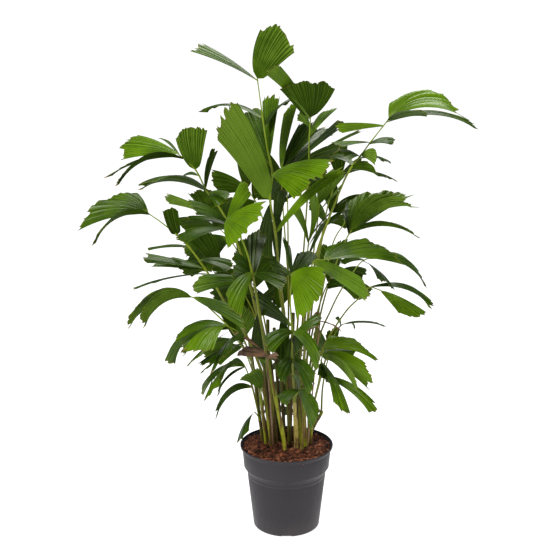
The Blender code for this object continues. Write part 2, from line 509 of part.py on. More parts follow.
def buildPot(parts, cutters):
    """A thin moulded shell: rolled lip, deep collar, step, tapered wall and a floor with a raised channel."""
    top, rim, edge, soft = pot["height"], pot["rimRadius"], pot["collarTop"], pot["lipRound"]
    outline = [
        (0.0, pot["wall"]), *reversed(inside(0.0)[1:]), (edge, top - soft), (edge + soft, top),
        (rim - soft, top), (rim, top - soft), (rim, top - pot["lipHeight"]),
    ]
    shell = profileObject("nursery_pot", outline, pot["steps"])
    parts.objects.link(shell)
    wall = shell.modifiers.new("Wall", "SOLIDIFY")
    wall.thickness = pot["wall"]
    wall.offset = -1
    wall.use_even_offset = True
    drains = bpy.data.collections.new("pot_drains")
    cutters.children.link(drains)
    for i in range(pot["drainHoles"]):
        turn = 2 * math.pi * (i + 0.5) / pot["drainHoles"]
        middle = (pot["channelIn"] + pot["channelOut"]) / 2
        bpy.ops.mesh.primitive_cylinder_add(
            vertices=pot["drainSides"], radius=pot["drainRadius"], depth=pot["cutDepth"],
            location=(middle * math.cos(turn), middle * math.sin(turn), pot["channelRise"]))
        addCutter(f"drain_{i}", drains)
    for i in range(pot["slots"]):
        turn = 2 * math.pi * i / pot["slots"] - math.pi / 2
        reach = pot["channelOut"] + pot["slotReach"]
        bpy.ops.mesh.primitive_cube_add(
            size=1.0, location=(reach * math.cos(turn), reach * math.sin(turn), 0.0), rotation=(0.0, 0.0, turn),
            scale=(pot["cutDepth"], pot["slotWidth"], 2 * pot["slotHeight"]))
        addCutter(f"slot_{i}", drains)
    cut = shell.modifiers.new("Drains", "BOOLEAN")
    cut.operation = "DIFFERENCE"
    cut.operand_type = "COLLECTION"
    cut.collection = drains
    return shell


def addCutter(name, collection):
    """Name the primitive that was just added and keep it as a hidden cutter."""
    tool = bpy.context.object
    for other in list(tool.users_collection):
        other.objects.unlink(tool)
    collection.objects.link(tool)
    tool.name = name
    tool.hide_render = True
    tool.display_type = "WIRE"


def buildMix(parts, cutters, footLines):
    """The potting mix: it fills the pot, mounds slightly, and its top is rough with chips."""
    top = [(inside(mix["wallClear"])[0][0] * (mix["rings"] - i) / mix["rings"], mix["level"])
           for i in range(mix["rings"], 0, -1)]
    outline = [(0.0, mix["level"]), *top[1:], *inside(mix["wallClear"]),
               (0.0, pot["wall"] + mix["wallClear"])]
    source = profileObject("potting_mix", outline, pot["steps"])
    parts.objects.link(source)
    body = made(source)
    parts.objects.link(body)
    edge = inside(0.0)[0][0]
    for vert in body.data.vertices:
        radius = math.hypot(vert.co.x, vert.co.y)
        if vert.co.z > mix["level"] - gap and radius < edge * mix["levelEdge"]:
            rough = noise.noise(vert.co * mix["chipsPerMetre"]) * mix["roughness"]
            vert.co.z += mix["mound"] * (1 - (radius / edge) ** 2) + rough
    holes = bpy.data.collections.new("cane_holes")
    cutters.children.link(holes)
    for i, (line, radius) in enumerate(footLines):
        hole = tubeObject(f"cane_hole_{i}", [line[0] - Vector((0, 0, gap)), line[1]],
                          [(radius + gap) / math.cos(math.pi / cane["sides"])] * 2, cane["sides"])
        holes.objects.link(hole)
        hole.hide_render = True
        hole.display_type = "WIRE"
    cut = body.modifiers.new("Cane holes", "BOOLEAN")
    cut.operation = "DIFFERENCE"
    cut.operand_type = "COLLECTION"
    cut.collection = holes
    return body


# The colour (linear red, green, blue) and roughness of each material.
finishes = {
    "Pot plastic": ((0.055, 0.052, 0.061), 0.5), "Potting mix": ((0.06, 0.03, 0.02), 0.9),
    "Cane": ((0.25, 0.24, 0.08), 0.5), "Frond": ((0.03, 0.11, 0.02), 0.35),
    "Dried frond": ((0.22, 0.11, 0.05), 0.7),
}


def paint(thing, name):
    colour, roughness = finishes[name]
    material = bpy.data.materials.new(name)
    material.use_nodes = True
    shader = material.node_tree.nodes["Principled BSDF"]
    shader.inputs["Base Color"].default_value = (*colour, 1.0)
    shader.inputs["Roughness"].default_value = roughness
    shader.inputs["Metallic"].default_value = 0.0
    thing.data.materials.clear()
    thing.data.materials.append(material)


def slide(spot, depth):
    """The same place in the front view, moved away by depth along the line of sight."""
    at = eye * cm
    return at + (spot - at) * (1 + depth / (spot.y - at.y))


def outer(verts):
    """A shape's lowest and highest corner."""
    spots = [vert.co for vert in verts]
    return [tuple(pick(spot[i] for spot in spots) for i in range(3)) for pick in (min, max)]


def solidOf(name, bm):
    """What the crossing test needs of a closed shape: its node, its box and its tree."""
    low, high = outer(bm.verts)
    return name, low, high, BVHTree.FromBMesh(bm)


def solidOfMesh(name, mesh):
    bm = bmesh.new()
    bm.from_mesh(mesh)
    solid = solidOf(name, bm)
    bm.free()
    return solid


def clear(solid, standing):
    """Whether a shape crosses nothing that stands already in another node."""
    name, low, high, tree = solid
    for owner, otherLow, otherHigh, other in standing:
        apart = any(low[i] > otherHigh[i] or high[i] < otherLow[i] for i in range(3))
        if owner != name and not apart and tree.overlap(other):
            return False
    return True


def bendStalk(name, start, path, standing):
    """A stalk's line, bent nearer or further where its drawn line would cross another node."""
    for depth in bends["stalk"]:
        bent = [slide(spot, depth * cm * min(1.0, (i + 1) / 3)) for i, spot in enumerate(path)]
        line = smooth([*start, *bent], 1)
        rod = tubeObject("stalk", line, [petiole["baseRadius"] + gap, petiole["endRadius"] + gap],
                         petiole["sheathSides"])
        solid = solidOfMesh(name, rod.data)
        bpy.data.objects.remove(rod)
        if clear(solid, standing):
            return line, solid
    print(name, "stalk crosses", depth)
    return line, solid


def bendLeaflet(name, spec, root, seed, standing):
    """A leaflet turned nearer or further about its root where it would cross another node."""
    turns = [(0, 0)]
    for depth in bends["leaflet"]:
        turns += [(a * depth, b * depth) for a, b in
                  ((-1, -1), (1, 1), (-1, 0), (1, 0), (0, -1), (0, 1), (-1, 1), (1, -1))]
    for tipDepth, sideDepth in turns:
        turned = {**spec, "tip": slide(spec["tip"], tipDepth * cm), "side": slide(spec["side"], sideDepth * cm)}
        bm = bladeMesh(turned, root, seed, blade["thickness"] + blade["clearance"])
        solid = solidOf(name, bm)
        bm.free()
        if clear(solid, standing):
            return turned, solid
    print(name, "leaflet crosses", [round(c / cm) for c in root], seed)
    return None, None


def growCrowns(plans):
    """The stalks first and then the leaflets, each clear of the other nodes that stand already."""
    standing = [plan["solid"] for plan in plans]
    for plan in plans:
        for bent in plan["fronds"]:
            bent["line"], solid = bendStalk(plan["name"], plan["start"], bent["path"], standing)
            standing.append(solid)
    for plan in plans:
        for number, bent in enumerate(plan["fronds"]):
            grown = []
            for i, spec in enumerate(bent["leaflets"]):
                root = rootOf(bent["line"][len(plan["start"]) - 1:], bent["leaflets"], i)
                seed = f"{plan['name']} {number} {i}"
                turned, solid = bendLeaflet(plan["name"], spec, root, seed, standing)
                if turned:
                    standing.append(solid)
                    grown.append((turned, root, seed))
            bent["grown"] = grown


def keepSkin(bm):
    """Fill the hollows that fusing seals and drop loose scraps: only the largest connected skin stays."""
    left, islands = set(bm.verts), []
    while left:
        edge = [left.pop()]
        island = list(edge)
        while edge:
            near = {e.other_vert(vert) for vert in edge for e in vert.link_edges} & left
            left -= near
            edge = list(near)
            island += edge
        islands.append(island)
    islands.sort(key=len)
    bmesh.ops.delete(bm, geom=[vert for island in islands[:-1] for vert in island], context="VERTS")


def fuse(name, pieces, parts):
    """Join the pieces into one body by a union on a collection, and remove the pieces."""
    loose = bpy.data.collections.new(name + "_pieces")
    bpy.context.scene.collection.children.link(loose)
    body = pieces[0]
    for piece in pieces[1:]:
        loose.objects.link(piece)
    body.name = name
    parts.objects.link(body)
    union = body.modifiers.new("Union", "BOOLEAN")
    union.operation = "UNION"
    union.solver = "MANIFOLD"
    union.operand_type = "COLLECTION"
    union.collection = loose
    joined = made(body)
    joined.name = name
    tidied = bmesh.new()
    tidied.from_mesh(joined.data)
    keepSkin(tidied)
    bmesh.ops.dissolve_limit(tidied, angle_limit=flatAngle, verts=tidied.verts[:], edges=tidied.edges[:])
    bmesh.ops.triangulate(tidied, faces=tidied.faces[:])
    tidied.to_mesh(joined.data)
    tidied.free()
    parts.objects.link(joined)
    for piece in list(loose.objects):
        bpy.data.objects.remove(piece)
    bpy.data.collections.remove(loose)
    return joined


def frondPieces(plan):
    """The stalks and leaflets of a crown, or of a dried frond, as separate closed pieces."""
    pieces = []
    for number, bent in enumerate(plan["fronds"]):
        pieces.append(tubeObject("stalk", bent["line"], plan["stalkRadii"], petiole["sides"]))
        for turned, root, seed in bent["grown"]:
            bm = bladeMesh(turned, root, seed, blade["thickness"])
            mesh = bpy.data.meshes.new("leaflet")
            bm.to_mesh(mesh)
            bm.free()
            pieces.append(bpy.data.objects.new("leaflet", mesh))
    return pieces


def planShoots(parts):
    """The canes, and for each of them what its crown holds."""
    plans = []
    for name, shoot in [*shoots.items(), *backShoots.items()]:
        crown = place(*shoot["crown"])
        line = caneLine(shoot["foot"], crown)
        radii = [shoot["radius"] * cm, cane["topRadius"]]
        stick = tubeObject("cane_" + name, line, radii, cane["sides"])
        parts.objects.link(stick)
        lean = (line[-1] - line[-2]).normalized()
        foot, collar = crown + lean * gap, crown + lean * (gap + petiole["sheathLength"])
        fronds = shoot.get("fronds") or [
            wildFrond(crown, place(x, z, y), size * cm, pairs, f"{name} {x}")
            for x, z, y, size, pairs in shoot["wild"]]
        single = len(fronds) == 1
        plans.append({
            "name": "crown_" + name, "cane": stick.name, "solid": solidOfMesh(stick.name, stick.data), "line": line,
            "footRadius": radii[0], "colours": "Frond", "fronds": fronds,
            "sheath": None if single else [foot, collar],
            "start": [foot, collar] if single else [foot.lerp(collar, petiole["forkAt"])],
            "stalkRadii": ([petiole["sheathRadius"]] if single else []) + [
                petiole["baseRadius"], petiole["endRadius"]],
        })
    for name, old in oldCanes.items():
        line = caneLine(old["foot"], place(*old["top"]))
        stick = tubeObject("cane_" + name, line, [old["radius"] * cm, cane["topRadius"]], cane["sides"])
        parts.objects.link(stick)
        plans.append({
            "name": stick.name, "cane": stick.name, "solid": solidOfMesh(stick.name, stick.data), "line": line,
            "footRadius": old["radius"] * cm, "fronds": []})
    for name, dead in deadFronds.items():
        base, top = footOf(dead["foot"])
        rod = tubeObject("dried", [base, top], [petiole["baseRadius"]] * 2, petiole["sheathSides"])
        plans.append({
            "name": name, "cane": name, "solid": solidOfMesh(name, rod.data), "line": [base, top],
            "footRadius": petiole["baseRadius"], "colours": "Dried frond", "sheath": None, "start": [base, top],
            "fronds": [dead["frond"]], "stalkRadii": [petiole["baseRadius"], petiole["endRadius"]],
        })
        bpy.data.objects.remove(rod)
    return plans


def build():
    for old in list(bpy.data.objects):
        bpy.data.objects.remove(old)
    parts = bpy.data.collections.new("Potted fishtail palm")
    cutters = bpy.data.collections.new("Cutters")
    for group in (parts, cutters):
        bpy.context.scene.collection.children.link(group)
    plans = planShoots(parts)
    growCrowns(plans)
    for plan in plans:
        if plan["cane"] in parts.objects:
            paint(parts.objects[plan["cane"]], "Cane")
        pieces = frondPieces(plan)
        if not pieces:
            continue
        if plan["sheath"]:
            pieces.insert(0, tubeObject("sheath", plan["sheath"], [petiole["sheathRadius"]] * 2,
                                        petiole["sheathSides"]))
        paint(fuse(plan["name"], pieces, parts), plan["colours"])
    feet = [(plan["line"], plan["footRadius"]) for plan in plans]
    paint(buildMix(parts, cutters, feet), "Potting mix")
    paint(buildPot(parts, cutters), "Pot plastic")


build()
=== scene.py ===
import json
import math
import random

import bmesh
import bpy
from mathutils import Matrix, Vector, noise
from mathutils.kdtree import KDTree

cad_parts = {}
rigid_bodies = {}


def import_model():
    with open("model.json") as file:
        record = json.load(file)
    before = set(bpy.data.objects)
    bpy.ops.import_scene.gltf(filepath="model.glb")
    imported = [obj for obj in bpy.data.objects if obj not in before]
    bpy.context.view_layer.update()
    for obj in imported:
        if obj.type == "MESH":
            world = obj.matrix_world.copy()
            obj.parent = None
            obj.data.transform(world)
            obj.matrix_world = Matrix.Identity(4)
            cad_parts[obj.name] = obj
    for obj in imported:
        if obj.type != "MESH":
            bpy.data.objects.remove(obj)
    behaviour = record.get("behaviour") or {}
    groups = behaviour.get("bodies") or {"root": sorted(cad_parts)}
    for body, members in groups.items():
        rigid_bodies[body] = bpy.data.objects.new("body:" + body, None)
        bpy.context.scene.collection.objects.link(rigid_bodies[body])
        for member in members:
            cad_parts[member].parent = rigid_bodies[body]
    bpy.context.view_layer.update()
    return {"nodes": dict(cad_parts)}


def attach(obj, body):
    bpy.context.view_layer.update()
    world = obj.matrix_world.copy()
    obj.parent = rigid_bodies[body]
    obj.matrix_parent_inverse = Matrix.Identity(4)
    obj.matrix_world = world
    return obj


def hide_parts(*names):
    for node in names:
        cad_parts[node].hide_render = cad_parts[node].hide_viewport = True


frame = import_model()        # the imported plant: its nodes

scene = bpy.context.scene
cm = 0.01
weldWithin = 0.00001        # points of a turned piece nearer than this, as on its axis, become one


# Node trees: a Value is a socket, and adding or multiplying Values places the maths nodes for it
class Value:
    def __init__(self, tree, socket):
        self.tree = tree
        self.socket = socket
        self.isVector = socket.type in {"VECTOR", "RGBA"}

    def calc(self, operation, *others):
        many = self.isVector or any(isinstance(other, Value) and other.isVector for other in others)
        maths = self.tree.nodes.new("ShaderNodeVectorMath" if many else "ShaderNodeMath")
        maths.operation = operation
        sockets = [maths.inputs[0], maths.inputs["Scale"]] if operation == "SCALE" else maths.inputs
        for socket, value in zip(sockets, (self, *others)):
            plug(self.tree, socket, value)
        return Value(self.tree, maths.outputs["Value" if operation in {"DOT_PRODUCT", "LENGTH"} else 0])

    def __add__(self, other):
        return self.calc("ADD", other)

    def __sub__(self, other):
        return self.calc("SUBTRACT", other)

    def __rsub__(self, other):
        return (self * -1.0).calc("ADD", other)

    def __mul__(self, other):
        scales = self.isVector and not (isinstance(other, Value) and other.isVector)
        return self.calc("SCALE" if scales else "MULTIPLY", other)

    def __pow__(self, other):
        return self.calc("POWER", other)


def plug(tree, socket, value):
    if isinstance(value, Value):
        tree.links.new(value.socket, socket)
    elif socket.type == "VECTOR" and isinstance(value, float):
        socket.default_value = (value, value, value)
    else:
        socket.default_value = value


def put(tree, kind, inputs=None, output=0, **settings):        # a node, given back as one of its outputs
    new = tree.nodes.new(kind)
    for name, value in settings.items():
        setattr(new, name, value)
    for name, value in (inputs or {}).items():
        plug(tree, new.inputs[name], value)
    return Value(tree, new.outputs[output])


def steps(value, low, high):        # 0 up to low, 1 from high on, and smooth between
    return put(value.tree, "ShaderNodeMapRange", {"Value": value, "From Min": low, "From Max": high},
               interpolation_type="SMOOTHSTEP")


def randomOf(value):
    return put(value.tree, "ShaderNodeTexWhiteNoise", {"W": value}, "Value", noise_dimensions="1D")


def noiseAlong(value):
    return put(value.tree, "ShaderNodeTexNoise", {"W": value, "Scale": 1.0, "Detail": 0.0}, noise_dimensions="1D")


def noiseIn(place, scale, detail=2.0, output=0):
    return put(place.tree, "ShaderNodeTexNoise", {"Vector": place, "Scale": scale, "Detail": detail}, output)


def newTree(name, kind, inputs, outputs):        # a node group with named inputs and outputs, and its two ends
    tree = bpy.data.node_groups.new(name, kind)
    for label, socketType, value in inputs:
        socket = tree.interface.new_socket(label, in_out="INPUT", socket_type="NodeSocket" + socketType)
        if value is not None:
            socket.default_value = value
    for label, socketType in outputs:
        tree.interface.new_socket(label, in_out="OUTPUT", socket_type="NodeSocket" + socketType)
    start = tree.nodes.new("NodeGroupInput")
    given = {label: Value(tree, start.outputs[label]) for label, _, _ in inputs}
    return tree, given, tree.nodes.new("NodeGroupOutput")


def attribute(tree, name, kind="FLOAT"):
    return put(tree, "GeometryNodeInputNamedAttribute", {"Name": name}, "Attribute", data_type=kind)


def store(geometry, name, value):
    return put(geometry.tree, "GeometryNodeStoreNamedAttribute", {
        "Geometry": geometry, "Name": name, "Value": value}, data_type="FLOAT", domain="POINT")


def joined(*branches):
    join = branches[0].tree.nodes.new("GeometryNodeJoinGeometry")
    for branch in reversed(branches):
        join.id_data.links.new(branch.socket, join.inputs[0])
    return Value(branches[0].tree, join.outputs[0])


def grown(source, tree, **values):        # the source's geometry as the tree makes it, as a plain mesh piece
    sockets = {item.name: item.identifier for item in tree.interface.items_tree if item.in_out == "INPUT"}
    modifier = source.modifiers.new(tree.name, "NODES")
    modifier.node_group = tree
    for name, value in values.items():
        modifier[sockets[name]] = value
    return plainPiece(source)


def plainPiece(source):        # the object as it is evaluated, as a plain mesh with no modifiers
    bpy.context.view_layer.update()
    depsgraph = bpy.context.evaluated_depsgraph_get()
    shape = bpy.data.meshes.new_from_object(source.evaluated_get(depsgraph), preserve_all_data_layers=True,
                                            depsgraph=depsgraph)
    name = source.name
    bpy.data.objects.remove(source)
    shape.name = name
    return linked(bpy.data.objects.new(name, shape))


def linked(thing):
    scene.collection.objects.link(thing)
    return thing


def placed(piece, node):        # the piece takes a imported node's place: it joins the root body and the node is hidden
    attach(piece, "root")
    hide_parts(node)


# Where the plant's front is looked at from, in centimetres. A place is given as x and z in the upright
# plane through the pot's axis, and a depth y that slides it along the line of sight.
eye = Vector((-2.6, -310.4, 155.5))
frontDepth = 1.9        # how much deeper than drawn the leaves' places are


def place(x, z, y):
    seen = Vector((x, 0.0, z))
    return (eye + (seen - eye) * (1.0 - y / eye.y)) * cm


def deep(x, z, y):
    return place(x, z, y * frontDepth)


# A leaflet grows from its frond's path, at step 1 where the first place is and between places in fractions.
# Its tip ends its long edge and its side ends its short edge. Then come its arch, the bulge of its torn edge
# and its belly, which widens it near the root. The tone runs from 0, a dark green, to 1, a yellow green: partly
# the leaflet's own age and partly painted light and shade, high where it stands lit or backlit and low where it
# stands in shade.
def leaf(at, tip, side, arch=0.1, bulge=0.08, belly=0.3, tone=None):
    return {"at": at, "tip": deep(*tip), "side": deep(*side), "arch": arch, "bulge": bulge, "belly": belly,
            "tone": tone}


def frond(path, *leaflets):
    return {"path": [deep(*p) for p in path], "leaflets": list(leaflets)}


# Each shoot: the foot of its cane on the mix (x, y), its crown (x, z, y), its foot radius, and its fronds.
shoots = {
    "tall": {
        "foot": (0.8, 2.2), "crown": (0.0, 45, 3), "radius": 0.55,
        "fronds": [frond(
            [(-0.8, 58, 1), (-2.1, 70, -1), (-2.9, 79, -2), (-4.2, 87.3, -2), (-3.6, 93.6, -1.5),
             (-4.9, 100, -1), (-5.9, 107, 0), (-7.2, 116.8, 1)],
            leaf(4, (-12, 111, -7), (-16.9, 101.8, -8), 0.05, 0.16, 0.6, tone=1),
            leaf(4, (-2.2, 93, 2), (-1.3, 89.3, 3), tone=0.3),
            leaf(4, (-3.5, 71.5, 4), (-7.8, 75, 4), 0.02, tone=0.05),
            leaf(1, (1.6, 44.5, 0.4), (-2.8, 46, 0.4), 0.02, tone=0.05),
            leaf(2, (-1, 82.4, 4), (-4.3, 81.6, 3.6), 0.02, tone=0.1),
            leaf(3, (0.2, 89.2, 2.5), (-3.2, 88.8, 2), 0.02, tone=0.05),
            leaf(5.3, (-6.3, 109.6, 4), (-10.6, 107.7, 3), 0.04, 0.05, tone=0.42),
            leaf(5.6, (-1.7, 112.9, 3), (-6, 111.2, 5), 0.03, 0.05, tone=0.6),
            leaf(5, (11.6, 96.9, -9), (1.8, 87.1, -10), 0.07, 0.08, 0.2, tone=0.8),
            leaf(3, (15.6, 94.7, -6), (9.2, 93.4, -3), 0.06, 0.0, 0.35, tone=1),
            leaf(6.6, (3, 112.2, 3), (0, 110.5, 6), 0.15, tone=0.15),
            leaf(7, (-21.6, 108.7, 2), (-18, 109.7, 4), 0.17, 0.0, 0.4, tone=0.38),
            leaf(8, (-6.4, 128.4, -2), (1.7, 122.9, -3), 0.05, 0.37, 0.5, tone=0.55),
            leaf(8, (-23.2, 123.2, 2), (-20.2, 125.1, 4), 0.04, -0.12, 0.0, tone=0.3),
        )],
    },
    "upper_right": {
        "foot": (2.4, 3.8), "crown": (2, 44, 5), "radius": 0.5,
        "fronds": [frond(
            [(0.5, 65, 6.5), (-1, 85, 6), (-1.4, 94.8, 4.5)],
            leaf(3, (2.7, 111.2, 7), (-1.1, 107, 8), 0.03, 0.1, 0.4, tone=0.65),
            leaf(3, (8.2, 105, 6), (3, 106, 8), 0.03, tone=0.15),
            leaf(3, (12, 103.4, 9), (7.2, 104.6, 12), tone=0.05),
            leaf(3, (13.8, 105.3, 4), (11.4, 105.9, 8), 0.02, 0.05, 0.15, tone=0.1),
            leaf(3, (19.4, 104.6, 3), (14, 102.6, 4), 0.03, 0.0, 0.35, tone=0.15),
            leaf(3, (13.4, 101.4, 2.5), (9.6, 95.8, 2), tone=0.0),
        ), frond(
            [(4, 72, 6), (5.2, 92, 4), (5.3, 101, 2), (5.6, 107.4, 1)],
            leaf(4, (-1.9, 114.2, -3), (11.5, 114.3, -1.5), 0.05, 0.14, 0.4, tone=0.3),
            leaf(4, (-6, 118.3, -5), (-1.7, 119.7, -3), 0.05, 0.0, tone=0.75),
            leaf(3.3, (12.7, 110, 3), (7.6, 108, 5), 0.05, 0.0, tone=0.65),
            leaf(3.6, (3.3, 109.9, 3), (2.3, 106.6, 4), tone=0.6),
        )],
    },
    "right_top": {
        "foot": (4.9, -0.7), "crown": (4, 38, -1), "radius": 0.6,
        "fronds": [frond(
            [(5.5, 58, -2.5), (7.2, 72, -4), (9.5, 80, -5), (13, 89.5, -5), (15.3, 94.5, -5),
             (18, 98.2, -4), (20.2, 101.3, -3), (24.6, 107.1, -2)],
            leaf(8, (43.8, 106.9, -4), (24.8, 110.9, 0), 0.19, 0.24, 0.2, tone=0.85),
            leaf(8, (34, 107.5, -6), (30, 108.9, -10), 0.06, tone=0.5),
            leaf(8, (46.5, 104.4, -1), (41.5, 107.2, 2), 0.14, 0.0, 0.15, tone=0.45),
            leaf(5, (27.4, 91.4, -3), (22.3, 92.8, -1), 0.09, -0.05, 0.15, tone=0.3),
            leaf(6, (21.6, 95.4, -8), (20.9, 99.9, -7), 0.05, 0.25, 0.2, tone=0.9),
            leaf(6, (12.2, 99.6, -6), (15.2, 96.8, -9), tone=0.35),
            leaf(5.3, (10, 97.4, -2), (13.4, 98.4, -1), tone=0.2),
            leaf(5.3, (22.4, 93.2, -7), (18.8, 96.8, -6), 0.05, tone=0.35),
            leaf(6, (25.5, 95.9, -1), (23, 96.6, 2), tone=0.3),
            leaf(7, (10.4, 101.3, -7), (13.6, 100.2, -8), 0.03, tone=0.55),
            leaf(7.7, (11.6, 105.9, -3), (13.2, 103.5, -3), 0.03, 0.0, 0.2, tone=0.9),
            leaf(7, (25.7, 100.5, -5), (25.2, 102.5, -1), tone=0.35),
        )],
    },
    "inner_right": {
        "foot": (3.6, 1.8), "crown": (3.2, 42, 2), "radius": 0.5,
        "fronds": [frond(
            [(5, 60, 2.5), (6.9, 76, 2), (7.4, 80.5, 1.5), (8, 86, 1)],
            leaf(4, (14.4, 93.2, 0), (7.2, 91.2, -1), 0.05, 0.1, 0.2, tone=0.7),
            leaf(3.6, (14, 91.5, 3), (12.3, 88.6, 4), 0.05, tone=0.95),
        ), frond(
            [(4.2, 60, 0.5), (5, 72, 0), (5.4, 77, 0)],
            leaf(3, (15.2, 87.5, 3), (11.5, 84.4, 4), tone=0.15),
            leaf(2.6, (13.9, 84.7, 0), (12.5, 82, -1), tone=0.35),
            leaf(2, (10.5, 82.5, -3), (7.8, 80, -3), tone=0.15),
            leaf(2.8, (2.6, 86.5, -2), (1.5, 83.6, -3), 0.05, tone=1),
            leaf(3, (7.5, 88.4, -1), (5, 88.6, -2), tone=1),
        )],
    },
    "right_middle": {
        "foot": (6.0, 3.2), "crown": (5.5, 40, 5), "radius": 0.5,
        "fronds": [frond(
            [(9, 60, 4), (12.3, 71, 3), (14.6, 76.9, 2), (16, 79.4, 1.5)],
            leaf(4, (33, 85.1, -3), (19.3, 87.3, 0), 0.17, 0.1, 0.25, tone=0.75),
            leaf(4, (31.6, 88.5, 8), (15.2, 86.8, 5), 0.06, 0.06, 0.2, tone=0.5),
            leaf(4, (33.5, 77.1, -4), (27, 80.8, -2), 0.15, 0.0, 0.2, tone=0.4),
            leaf(3.5, (13, 84.4, 5), (15.5, 83.8, 7), tone=0.1),
        ), frond(
            [(8.6, 62, 6.5), (11.3, 75.7, 7), (14.3, 81.3, 7.5)],
            leaf(3, (20, 86, 12), (14.5, 86.5, 13), tone=0.1),
        )],
    },
    "right": {
        "foot": (4.0, -2.6), "crown": (5, 35, -3), "radius": 0.45,
        "fronds": [frond(
            [(8.1, 51, 1), (11, 58.5, 1), (13.5, 63.8, 0), (17.8, 70.4, -2), (19.8, 72, -3)],
            leaf(5, (35.3, 64.1, -2), (31, 70.6, 1), 0.2, 0.0, 0.15, tone=0.45),
            leaf(4.6, (27.3, 63.6, -6), (22.6, 66.8, -8), 0.1, 0.0, 0.4, tone=0.35),
            leaf(5, (13, 71.6, -1), (14.2, 70.4, -2), tone=0.35),
        ), frond(
            [(9.2, 48.5, -0.5), (11.5, 53, -1), (15, 58.5, -2), (18.3, 62, -4), (20.5, 64.6, -6),
             (23.6, 63.8, -7)],
            leaf(5, (36.8, 58.8, -5), (35, 61.8, -2), 0.18, 0.0, 0.15, tone=0.5),
            leaf(6, (35.3, 58, -8), (28.2, 57.8, -9), 0.04, 0.15, tone=0.75),
            leaf(5, (10, 64, -4), (11.2, 67, -3), tone=0.4),
        ), frond(
            [(4.3, 52, -6), (5, 64, -7.5), (6.6, 71.2, -9), (9.3, 71.7, -10)],
            leaf(3, (20.7, 60.2, -17), (18.6, 67.3, -16), 0.03, 0.05, 0.5, tone=0.78),
            leaf(4, (29.5, 70.3, -12), (10.2, 75.3, -9), 0.1, 0.14, 0.2, tone=0.5),
        )],
    },
    "front": {
        "foot": (2.6, -1.6), "crown": (2, 34, -5), "radius": 0.8,
        "fronds": [frond(
            [(1.4, 45.6, -7), (1.4, 53.1, -8), (0.9, 60, -9), (1.2, 68.3, -10)],
            leaf(1, (-0.6, 38, -12), (-2.9, 43.6, -10), 0.15, tone=0.3),
            leaf(1, (5.6, 35, -13), (7.5, 41.6, -12), 0.15, tone=0.4),
            leaf(2, (-3.6, 47, -13), (-5.9, 51.6, -11), 0.12, 0.12, 0.4, tone=0.5),
            leaf(2, (7.5, 41.7, -15), (8.4, 48.2, -14), 0.2, tone=0.65),
            leaf(2, (-2, 40.5, -3), (3, 42.5, -4), 0.02, tone=0.05),
            leaf(2, (2.2, 46.6, -11), (4.4, 49.6, -11), tone=0.0),
            leaf(2.2, (-8.4, 65, -3.5), (-6.5, 57.6, -5), 0.05, 0.12, tone=0.0),
            leaf(2, (8.3, 58.2, -8), (8.7, 54.9, -9), tone=0.5),
            leaf(4, (2.6, 55.4, -15), (9.3, 69.6, -13), 0.08, 0.2, 0.2, tone=0.88),
            leaf(4, (-4.6, 72.4, -8), (-2.8, 68.4, -9), tone=0.2),
            leaf(4, (-1.4, 78, -9), (1, 74.6, -8), tone=0.3),
            leaf(4, (8.4, 72.6, -7), (2.6, 73.6, -6), 0.05, tone=0.15),
        ), frond(
            [(3.1, 37.3, -7.5)],
            leaf(1, (-0.2, 32.7, -12), (-2.4, 35.8, -10), tone=0.55),
            leaf(1, (6.4, 25.1, -14), (7.9, 34, -12), 0.1, 0.18, tone=0.5),
            leaf(1, (1, 41.2, -9), (3, 41, -8)),
        )],
    },
    "left_centre": {
        "foot": (-0.4, -3.0), "crown": (-5, 46, -4), "radius": 0.6,
        "fronds": [frond(
            [(-6.9, 58, -5.5), (-8.7, 68.6, -7), (-10.6, 75.5, -8), (-13, 79.8, -8.5), (-15.2, 81.8, -9)],
            leaf(2, (-11.6, 56, -14), (-14.8, 64.2, -11), 0.08, 0.15, 0.25, tone=0.65),
            leaf(2, (0.2, 68, -9), (-1.6, 63.8, -10), tone=0.15),
            leaf(1, (-4.2, 44.5, 1), (-9.2, 47.5, 1), 0.03, tone=0.0),
            leaf(2, (-4.6, 79, -5), (-10.4, 77.5, -4), 0.03, 0.1, 0.4, tone=0.05),
            leaf(2, (-13, 74.3, -6), (-13.2, 65.6, -9), tone=0.3),
            leaf(2, (-23.4, 62.6, -8), (-21.4, 68, -6), 0.06, 0.12, 0.1, tone=0.5),
            leaf(5, (-4.9, 86.7, -12), (-14.7, 74.8, -14), 0.08, 0.2, 0.15, tone=0.95),
            leaf(5, (-8.7, 88.2, -6), (-11.2, 91.9, -5), 0.05, 0.1, tone=0.85),
            leaf(5, (-29.8, 88.8, -7), (-29, 86, -6), 0.06, 0.0, 0.0, tone=0.7),
            leaf(5, (-24.4, 87.2, -10), (-22.4, 83.2, -11), tone=0.4),
            leaf(5, (-26.2, 81.4, -8), (-22.7, 83, -6), tone=0.25),
            leaf(5, (-27.9, 77.8, -10), (-25, 75.8, -12), tone=0.4),
        )],
    },
    "left_top": {
        "foot": (-2.6, 1.4), "crown": (-5, 44, 1.5), "radius": 0.5,
        "fronds": [frond(
            [(-8, 60, 1.5), (-12, 75, 1), (-16, 84, 0.5), (-19.7, 89.2, 0), (-22.4, 94.6, 0), (-26.6, 98.5, 0)],
            leaf(1, (-3, 65.4, 3.4), (-3.8, 59.4, 3.6), 0.03, tone=0.05),
            leaf(6, (-40.6, 96.9, 2), (-36.2, 103.1, 5), 0.05, 0.2, 0.15, tone=0.75),
            leaf(6, (-31.5, 102.2, 7), (-29.5, 101.8, 8), tone=0.5),
            leaf(6, (-45.2, 92.3, -4), (-39, 96, -3), 0.09, -0.08, 0.15, tone=0.4),
            leaf(6, (-42.3, 90.3, -8), (-38.4, 95.2, -7), 0.16, -0.1, 0.1, tone=0.15),
            leaf(5, (-27.1, 102.3, -1), (-19.3, 104.3, -2), 0.05, 0.18, 0.5, tone=0.65),
